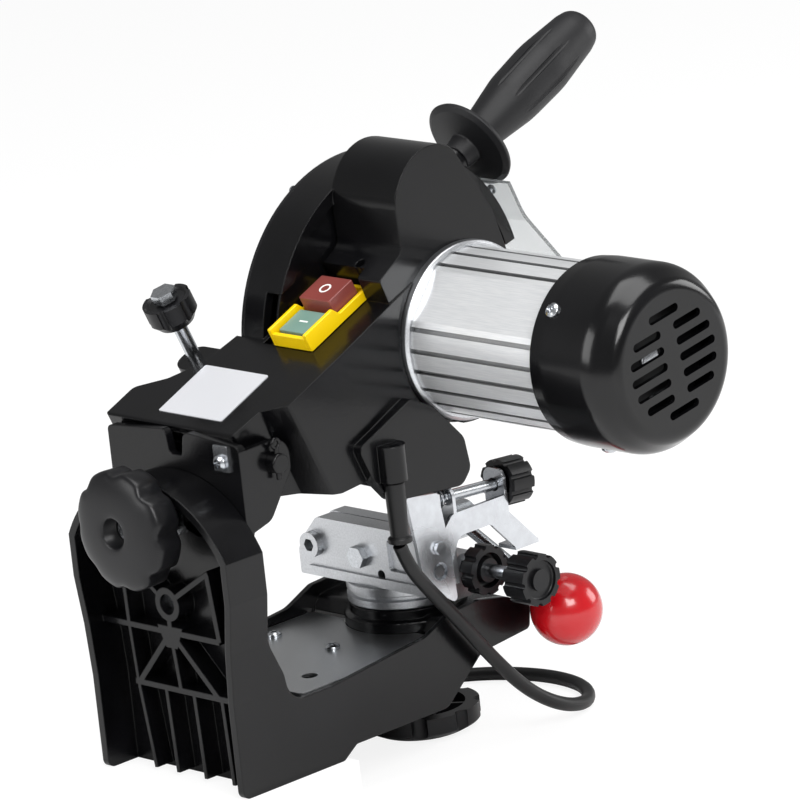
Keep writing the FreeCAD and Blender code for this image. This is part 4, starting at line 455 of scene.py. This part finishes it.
@dataclass
class Studio:
    """Camera at the product's three-quarter rear view, soft lamps and a pale floor."""

    # The view's direction and roll in degrees, and where the origin falls in the frame
    turn: float = 180.0 + 47.647
    height: float = 14.847
    roll: float = -6.097
    distance: float = 3020.5
    scale_px: float = 2.077
    origin_px: tuple[float, float] = (173.582, 783.713)
    frame_px: float = 800.0
    sensor: float = 36.0
    # The bench's end under the foot, the floor below it and the light that both take
    bench_edge: float = -70.0
    bench_back: float = 30.0
    low_floor: float = -21.5
    floor_reach: float = 30000.0
    lamp_aim: tuple[float, float, float] = (0, -120, 150)
    far_view_metres: float = 200.0
    ambient: float = 0.3
    paper: str = "#f4f4f4"
    glow: float = 1.08
    glow_share: float = 0.8

    def camera(self) -> None:
        """Places the camera so that the origin lies at its own spot of the frame."""
        turn, height, roll = (math.radians(v) for v in (self.turn, self.height, self.roll))
        level = math.cos(height)
        back = Vector((math.sin(turn) * level, -math.cos(turn) * level, math.sin(height)))
        flat_right = Vector((math.cos(turn), math.sin(turn), 0))
        flat_up = back.cross(flat_right)
        right = math.cos(roll) * flat_right + math.sin(roll) * flat_up
        up = math.cos(roll) * flat_up - math.sin(roll) * flat_right
        middle = self.frame_px / 2
        across = (self.origin_px[0] - middle) / self.scale_px
        down = (self.origin_px[1] - middle) / self.scale_px
        spot = (right * -across + up * down + back * self.distance) * MM
        lens = bpy.data.cameras.new("camera")
        lens.sensor_width = self.sensor
        lens.lens = self.distance * self.scale_px * self.sensor / self.frame_px
        lens.clip_end = self.far_view_metres
        camera = bpy.data.objects.new("camera", lens)
        facing = Matrix((right, up, back)).transposed().to_4x4()
        camera.matrix_world = Matrix.Translation(spot) @ facing
        bpy.context.collection.objects.link(camera)
        bpy.context.scene.camera = camera

    def world(self) -> None:
        """Plain grey light all round, which the camera sees as white, through clear sheet too."""
        world = bpy.data.worlds.new("studio")
        bpy.context.scene.world = world
        world.use_nodes = True
        tree = world.node_tree
        tree.nodes.clear()
        path = add_node(tree, "LightPath")
        seen = add_node(
            tree,
            "Math",
            {"operation": "MAXIMUM"},
            {0: path.outputs["Is Camera Ray"], 1: path.outputs["Is Transmission Ray"]},
        )
        level = add_node(
            tree,
            "MapRange",
            {"To Min": self.ambient, "To Max": 1.0},
            {"Value": seen.outputs["Value"]},
        )
        sky = add_node(
            tree, "Background", {"Color": WHITE_LIGHT}, {"Strength": level.outputs["Result"]}
        )
        add_node(tree, "OutputWorld", {}, {"Surface": sky.outputs["Background"]})

    def floor(self) -> None:
        """A wide pale floor, and the end of a bench under the foot of the casting."""
        reach = self.floor_reach
        low, high = (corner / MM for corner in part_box("base_casting"))
        shape = bmesh.new()
        corners = [(-reach, -reach), (reach, -reach), (reach, reach), (-reach, reach)]
        shape.faces.new([shape.verts.new(metres(x, y, self.low_floor)) for x, y in corners])
        bench = [
            (low.x, self.bench_edge),
            (high.x, self.bench_edge),
            (high.x, self.bench_back),
            (low.x, self.bench_back),
        ]
        bottom, top = (
            [shape.verts.new(metres(x, y, z)) for x, y in bench] for z in (self.low_floor, 0.0)
        )
        shape.faces.new(top)
        join(shape, bottom, top)
        mesh = bpy.data.meshes.new("studio_floor")
        shape.to_mesh(mesh)
        shape.free()
        floor = bpy.data.objects.new("studio_floor", mesh)
        bpy.context.collection.objects.link(floor)
        mesh.materials.append(self.backdrop())
        floor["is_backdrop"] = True

    def backdrop(self) -> bpy.types.Material:
        """White studio paper, which takes soft shadows and glows a little to the camera.

        Returns:
            The floor's material.
        """
        paper = bpy.data.materials.new("studio_paper")
        paper.use_nodes = True
        tree = paper.node_tree
        tree.nodes.clear()
        matt = add_node(tree, "BsdfDiffuse", {"Color": linear(self.paper)})
        glow = add_node(tree, "Emission", {"Color": WHITE_LIGHT, "Strength": self.glow})
        path = add_node(tree, "LightPath")
        share = add_node(
            tree, "Math", {"operation": "MULTIPLY"}, {0: path.outputs["Is Camera Ray"]}
        )
        share.inputs[1].default_value = self.glow_share
        both = add_node(
            tree,
            "MixShader",
            {},
            {0: share.outputs["Value"], 1: matt.outputs["BSDF"], 2: glow.outputs["Emission"]},
        )
        add_node(tree, "OutputMaterial", {}, {"Surface": both.outputs["Shader"]})
        return paper

    def build(self) -> None:
        """Sets up the view, the light and the floor."""
        bpy.context.scene.view_settings.view_transform = "Standard"
        self.camera()
        for lamp in LAMPS:
            lamp.build(metres(*self.lamp_aim))
        self.world()
        self.floor()


# ---- Cord -----------------------------------------------------------------------------------------

# The cord's way from its sleeve to the coil
CORD_ROUTE = [
    (-60, -108.3, 98.5),
    (-60, -112.2, 87.6),
    (-60.5, -121, 75),
    (-60, -139.2, 54.1),
    (-60.5, -162.6, 24.2),
    (-61, -183, 2.3),
    (-61.5, -205, -11.5),
    (-55.5, -228, -17.5),
    (-37, -246, -17.7),
    (-10, -251, -17.7),
    (18, -243, -17.7),
    (39, -227, -17.7),
    (52, -204, -17.7),
    (57.5, -176, -17.7),
    (57, -144, -17.7),
]


@dataclass
class MainsCord:
    """The cord as one line: its visible run, its put-away coil and the tail to the plug."""

    route: list[tuple[float, float, float]] = field(default_factory=lambda: list(CORD_ROUTE))
    diameter: float = 7.0
    length: float = 1895.0
    # The coil: three turns side by side on the floor, then two on top of them
    coil_centre: tuple[float, float] = (102.0, -118.0)
    radii: tuple[float, float, float] = (45.0, 38.0, 31.0)
    shifts: tuple[float, float, float, float] = (0.8, 1.8, 3.0, 4.2)
    shift_span: float = 0.2
    low: float = -17.7
    high: float = -10.7
    climb_turn: float = 2.6
    entry: float = 208.0
    turns: float = 5.61
    points_per_turn: int = 14
    # The last part turn widens to meet the tail, which lies on a circle of its own
    leaving_turn: float = 5.15
    leaving_span: float = 0.4
    leaving_reach: float = 7.0
    tail_centre: tuple[float, float] = (110.0, -128.0)
    tail_radius: float = 41.0
    tail_step: float = -24.0
    tail_points: int = 8
    tail_low: float = -10.8
    tail_high: float = 11.6
    rim_segments: int = 6
    span_segments: int = 10
    order: int = 3

    def coil_radius(self, turn: float) -> float:
        """Radius of the lay at a number of turns from the coil's start.

        Args:
            turn: Turns wound so far.

        Returns:
            The radius in millimetres: inwards below, outwards above, and out to the tail at the end.
        """
        outer, middle, inner = self.radii
        lays = (outer, middle, inner, middle, outer)
        radius = outer
        for start, before, after in zip(self.shifts, lays, lays[1:]):
            share = share_of(turn, start, self.shift_span)
            if share > 0:
                radius = before + (after - before) * share
        return radius + self.leaving_reach * share_of(turn, self.leaving_turn, self.leaving_span)

    def coil(self) -> list[tuple[float, float, float]]:
        """The coil's turns, worked out one point at a time.

        Returns:
            Points in millimetres, from the entry to where the tail takes over.
        """
        # The line runs inside its control points, so they stand out by this much
        shrink = math.cos(math.pi / self.points_per_turn)
        points = []
        for index in range(1, round(self.turns * self.points_per_turn)):
            turn = index / self.points_per_turn
            angle = math.radians(self.entry - 360.0 * turn)
            radius = self.coil_radius(turn) / shrink
            climb = share_of(turn, self.climb_turn, self.shift_span)
            points.append(
                (
                    self.coil_centre[0] + radius * math.cos(angle),
                    self.coil_centre[1] + radius * math.sin(angle),
                    self.low + (self.high - self.low) * climb,
                )
            )
        return points

    def tail(self) -> list[tuple[float, float, float]]:
        """The last stretch, rising over the coil to the plug.

        Returns:
            Points in millimetres.
        """
        points = []
        for index in range(1, self.tail_points + 1):
            angle = math.radians(self.tail_step * index)
            rise = (1 - math.cos(math.pi * index / self.tail_points)) / 2
            points.append(
                (
                    self.tail_centre[0] + self.tail_radius * math.cos(angle),
                    self.tail_centre[1] + self.tail_radius * math.sin(angle),
                    self.tail_low + (self.tail_high - self.tail_low) * rise,
                )
            )
        return points

    def build(self) -> bpy.types.Object:
        """Returns:
            The cord's curve.
        """
        line = self.route + self.coil() + self.tail()
        curve = bpy.data.curves.new("mains_cord", "CURVE")
        curve.dimensions = "3D"
        curve.bevel_depth = self.diameter / 2 * MM
        curve.bevel_resolution = self.rim_segments
        curve.resolution_u = self.span_segments
        curve.use_fill_caps = True
        spline = curve.splines.new("NURBS")
        spline.points.add(len(line) - 1)
        for point, place in zip(spline.points, line):
            point.co = (*metres(*place), 1.0)
        spline.order_u = self.order
        spline.use_endpoint_u = True
        cord = bpy.data.objects.new("mains_cord", curve)
        bpy.context.collection.objects.link(cord)
        cord.data.materials.append(PVC.material())
        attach(cord, "base")
        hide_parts("power_cord", "cord_coil")
        return cord


# ---- Mesh helpers ---------------------------------------------------------------------------------

# Edges sharper than this are rounded, in degrees
EDGE_ANGLE = 35
EDGE_SEGMENTS = 3


def shown(
    name: str, shape: bmesh.types.BMesh, finish: Finish, body: str
) -> bpy.types.Object:
    """Turns a finished bmesh into a dressed piece on its body.

    Args:
        name: The piece's name.
        shape: Its faces, which this frees.
        finish: What it is made of.
        body: The body it rides on.

    Returns:
        The new piece.
    """
    bmesh.ops.recalc_face_normals(shape, faces=shape.faces)
    mesh = bpy.data.meshes.new(name)
    shape.to_mesh(mesh)
    shape.free()
    piece = bpy.data.objects.new(name, mesh)
    bpy.context.collection.objects.link(piece)
    dress(piece, finish)
    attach(piece, body)
    return piece


def round_edges(piece: bpy.types.Object, radius: float) -> None:
    """Rounds a piece's sharp edges.

    Args:
        piece: The piece.
        radius: The rounding's radius in millimetres.
    """
    bevel = piece.modifiers.new("rounded", "BEVEL")
    bevel.width = radius * MM
    bevel.segments = EDGE_SEGMENTS
    bevel.limit_method = "ANGLE"
    bevel.angle_limit = math.radians(EDGE_ANGLE)
    bevel.harden_normals = True


@dataclass(frozen=True)
class HeadArm:
    """The head's sloping arm, whose own directions the pieces on it are drawn in."""

    pitch: float = 23.1
    hinge: tuple[float, float] = (-45.0, 155.5)

    def at(self, across: float, along: float, up: float) -> Vector:
        """A point of the arm, in metres.

        Args:
            across: Distance to the operator's right.
            along: Distance up the arm from the hinge.
            up: Height square to the arm.

        Returns:
            The point in the row frame.
        """
        slope = math.radians(self.pitch)
        back = self.hinge[0] - along * math.cos(slope) + up * math.sin(slope)
        height = self.hinge[1] + along * math.sin(slope) + up * math.cos(slope)
        return metres(across, back, height)

    def plate(
        self, shape: bmesh.types.BMesh, outline: list[tuple[float, float]], near: float, far: float
    ) -> None:
        """Adds a closed plate with an outline along the arm.

        Args:
            shape: The mesh that takes it.
            outline: Points along and above the arm.
            near: One face's place across.
            far: The other face's place across.
        """
        first, second = ([shape.verts.new(self.at(x, u, n)) for u, n in outline] for x in (near, far))
        shape.faces.new(first)
        shape.faces.new(second[::-1])
        join(shape, first, second)


ARM = HeadArm()


# ---- Switch ---------------------------------------------------------------------------------------


@dataclass(frozen=True)
class PushBlock:
    """One push block of the switch: its node, its two sides and two ends, and its face's height."""

    name: str
    node: str
    place: tuple[float, float, float, float]
    top: float
    finish: Finish
    slot: str


@dataclass
class SwitchBlock:
    """Yellow stepped tray with the tall stop block and the low start block, and their plain marks."""

    # The tray, across and along the arm, and the heights of its floor and walls
    side: tuple[float, float] = (-34.0, -7.0)
    span: tuple[float, float] = (57.0, 103.0)
    seat: float = 20.8
    high: float = 30.6
    low: float = 26.0
    step: float = 78.0
    step_slope: float = 3.0
    rear_drop: float = 2.4
    wall: float = 2.2
    floor: float = 1.4
    tray_rounding: float = 0.5
    # The blocks, with a shallow dish in each face
    stop: PushBlock = PushBlock(
        "stop_block", "stop_button", (-31.2, -9.8, 80.0, 98.0), 33.6, RED_BUTTON, "red_plastic"
    )
    start: PushBlock = PushBlock(
        "start_block", "start_button", (-30.6, -10.4, 61.0, 77.5), 28.4, GREEN_BUTTON, "green_plastic"
    )
    block_foot: float = 4.2
    dish_border: float = 1.2
    dish_depth: float = 0.25
    block_rounding: float = 0.8
    # The marks: a ring and a bar, let into the dishes
    stroke: float = 0.9
    ring: float = 3.2
    ring_points: int = 28
    bar: float = 5.6
    mark_span: tuple[float, float] = (-0.5, -0.12)

    def tray(self) -> None:
        """Side walls that step down beside the stop block, two end walls and a floor."""
        rear, front = self.span
        seat, high, low, step = self.seat, self.high, self.low, self.step
        near, far = self.side
        flank = [(rear, seat), (front, seat), (front, low)]
        flank += [(step + self.step_slope, low), (step, high), (rear, high)]
        shape = bmesh.new()
        ARM.plate(shape, flank, near, near + self.wall)
        ARM.plate(shape, flank, far - self.wall, far)
        inner = (near + self.wall, far - self.wall)
        ends = [(rear, rear + self.wall, high - self.rear_drop), (front - self.wall, front, low)]
        for start, end, top in ends:
            ARM.plate(shape, [(start, seat), (end, seat), (end, top), (start, top)], *inner)
        floor = [(rear + self.wall, seat), (front - self.wall, seat)]
        ARM.plate(shape, floor + [(u, n + self.floor) for u, n in floor[::-1]], *inner)
        tray = shown("switch_tray", shape, YELLOW_ABS, "head")
        round_edges(tray, self.tray_rounding)
        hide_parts("switch_frame")

    def block(self, push: PushBlock) -> None:
        """Makes one push block with a shallow dish in its face.

        Args:
            push: The block to make.
        """
        near, far, rear, front = push.place
        low, top = self.seat + self.block_foot, push.top
        shape = bmesh.new()
        ARM.plate(shape, [(rear, low), (front, low), (front, top), (rear, top)], near, far)
        bmesh.ops.recalc_face_normals(shape, faces=shape.faces)
        up = ARM.at(0, 0, 1) - ARM.at(0, 0, 0)
        face = max(shape.faces, key=lambda f: f.calc_center_median().dot(up))
        bmesh.ops.inset_individual(
            shape, faces=[face], thickness=self.dish_border * MM, depth=-self.dish_depth * MM
        )
        piece = shown(push.name, shape, push.finish, push.node)
        round_edges(piece, self.block_rounding)
        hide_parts(push.node)

    def mark(self, name: str, push: PushBlock, quads: list[list[tuple[float, float]]]) -> None:
        """Lays one white mark in a block's face.

        Args:
            name: The mark's name.
            push: The block that carries it.
            quads: The mark's quads, across and along from the face's middle.
        """
        near, far, rear, front = push.place
        middle = ((near + far) / 2, (rear + front) / 2)
        shape = bmesh.new()
        for quad in quads:
            low, high = (
                [shape.verts.new(ARM.at(middle[0] + x, middle[1] + y, push.top + n)) for x, y in quad]
                for n in self.mark_span
            )
            shape.faces.new(high)
            shape.faces.new(low[::-1])
            join(shape, low, high)
        shown(name, shape, MARK_WHITE, push.node)

    def ring_quads(self) -> list[list[tuple[float, float]]]:
        """The ring of the stop mark.

        Returns:
            One quad for each step round the ring.
        """
        turns = [2 * math.pi * index / self.ring_points for index in range(self.ring_points + 1)]
        circle = [(math.cos(turn), math.sin(turn)) for turn in turns]
        outer, inner = self.ring, self.ring - self.stroke
        return [
            [(c * r, d * r) for (c, d), r in ((a, inner), (a, outer), (b, outer), (b, inner))]
            for a, b in zip(circle, circle[1:])
        ]

    def build(self) -> None:
        """Makes the tray, the two blocks and their marks."""
        self.tray()
        self.block(self.stop)
        self.block(self.start)
        half, reach = self.stroke / 2, self.bar / 2
        bar = [(-reach, -half), (reach, -half), (reach, half), (-reach, half)]
        self.mark("stop_mark", self.stop, self.ring_quads())
        self.mark("start_mark", self.start, [bar])


# ---- Guard web ------------------------------------------------------------------------------------


@dataclass
class GuardWeb:
    """The casting's wall beside the switch, which hides the wheel."""

    motor: tuple[float, float] = (132.9, -20.9)
    radius: float = 81.0
    start: float = 100.0
    end: float = 160.0
    steps: int = 12
    corner: tuple[float, float] = (118.0, 7.0)
    near: float = -3.0
    thickness: float = 1.6

    def build(self) -> None:
        """Makes the web as one plate that ends inside the guard's rim and the arm."""
        along, above = self.motor
        outline = [self.corner]
        for index in range(self.steps + 1):
            angle = math.radians(self.start + (self.end - self.start) * index / self.steps)
            outline.append(
                (along + self.radius * math.cos(angle), above + self.radius * math.sin(angle))
            )
        shape = bmesh.new()
        ARM.plate(shape, outline, self.near, self.near + self.thickness)
        shown("guard_web", shape, BLACK_ENAMEL, "head")


# ---- Rear clamp knob ------------------------------------------------------------------------------


@dataclass
class ClampKnob:
    """Large knob of the tilt clamp: a domed face, eight wide scallops and a deep bolt hole."""

    # Places along the bolt, rearwards, and radii
    height: float = 131.0
    face: float = 19.4
    rim: float = 13.2
    back: float = 0.5
    foot: float = -15.8
    radius: float = 29.9
    hole: float = 7.4
    hub: float = 8.4
    # The hole's depth, its small chamfer and the flat ring that the dome starts from
    hole_depth: float = 9.0
    chamfer_depth: float = 0.9
    chamfer_lip: float = 0.2
    chamfer: float = 0.6
    flat_ring: float = 1.6
    # The dome's steps, how full it is, and how late the scallops start on it
    dome_steps: int = 14
    dome_fullness: float = 0.8
    scallop_fade: int = 9
    # The rim's lower edges and the fillet to the hub
    shoulder: float = 1.0
    skirt: float = 2.0
    skirt_taper: float = 0.4
    scallops: int = 8
    scallop_width: int = 3
    depth: float = 2.6
    around: int = 192

    def rings(self) -> list[tuple[float, float, float]]:
        """The outline from the hole's floor over the dome to the hub.

        Returns:
            For each ring its place along the bolt, its radius and its share of the scallops' depth.
        """
        face, hole, radius = self.face, self.hole, self.radius
        outline = [(face - self.hole_depth, hole, 0.0), (face - self.chamfer_depth, hole, 0.0)]
        outline.append((face - self.chamfer_lip, hole + self.chamfer, 0.0))
        inside = hole + self.flat_ring
        for index in range(self.dome_steps + 1):
            angle = math.pi / 2 * index / self.dome_steps
            reach = inside + (radius - inside) * math.sin(angle)
            place = self.rim + (face - self.rim) * math.cos(angle) ** self.dome_fullness
            outline.append((place, reach, max(0.0, math.sin(angle)) ** self.scallop_fade))
        back = self.back
        outline += [(self.rim - self.shoulder, radius, 1.0)]
        outline += [(back + self.skirt, radius - self.skirt_taper, 1.0)]
        outline += [(back, radius - self.skirt, 1.0)]
        outline += [(back, self.hub + self.shoulder, 0.0), (back - self.shoulder, self.hub, 0.0)]
        return outline + [(self.foot, self.hub, 0.0)]

    def build(self) -> None:
        """Makes the knob and shows it for the node."""
        shape = bmesh.new()
        rows = []
        for place, radius, share in self.rings():
            row = []
            for index in range(self.around):
                angle = 2 * math.pi * index / self.around
                dip = (0.5 + 0.5 * math.cos(self.scallops * angle)) ** self.scallop_width
                reach = radius - self.depth * share * dip
                spot = metres(reach * math.cos(angle), place, self.height + reach * math.sin(angle))
                row.append(shape.verts.new(spot))
            rows.append(row)
        for first, second in zip(rows, rows[1:]):
            join(shape, first, second)
        shape.faces.new(rows[0])
        shape.faces.new(rows[-1])
        for face in shape.faces:
            face.smooth = len(face.verts) == 4
        knob = shown("tilt_knob_shell", shape, NYLON, "tilt_knob")
        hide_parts("tilt_knob")


# ---- The whole machine ----------------------------------------------------------------------------


class Sharpener:
    """Dresses every node of the frame and adds the shown pieces."""

    def finishes(self) -> None:
        """Gives every node its finish; what no list names is bright steel."""
        named = {node: finish for finish, nodes in DRESS.items() for node in nodes}
        for node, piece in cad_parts.items():
            dress(piece, named.get(node, BRIGHT_STEEL))

    def build(self) -> None:
        """Builds the pieces in order."""
        self.finishes()
        MainsCord().build()
        SwitchBlock().build()
        GuardWeb().build()
        ClampKnob().build()


def main() -> None:
    """Builds the studio and the machine."""
    Studio().build()
    Sharpener().build()
    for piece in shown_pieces():
        log.info("piece %s", piece.name)


if __name__ == "__main__":
    main()
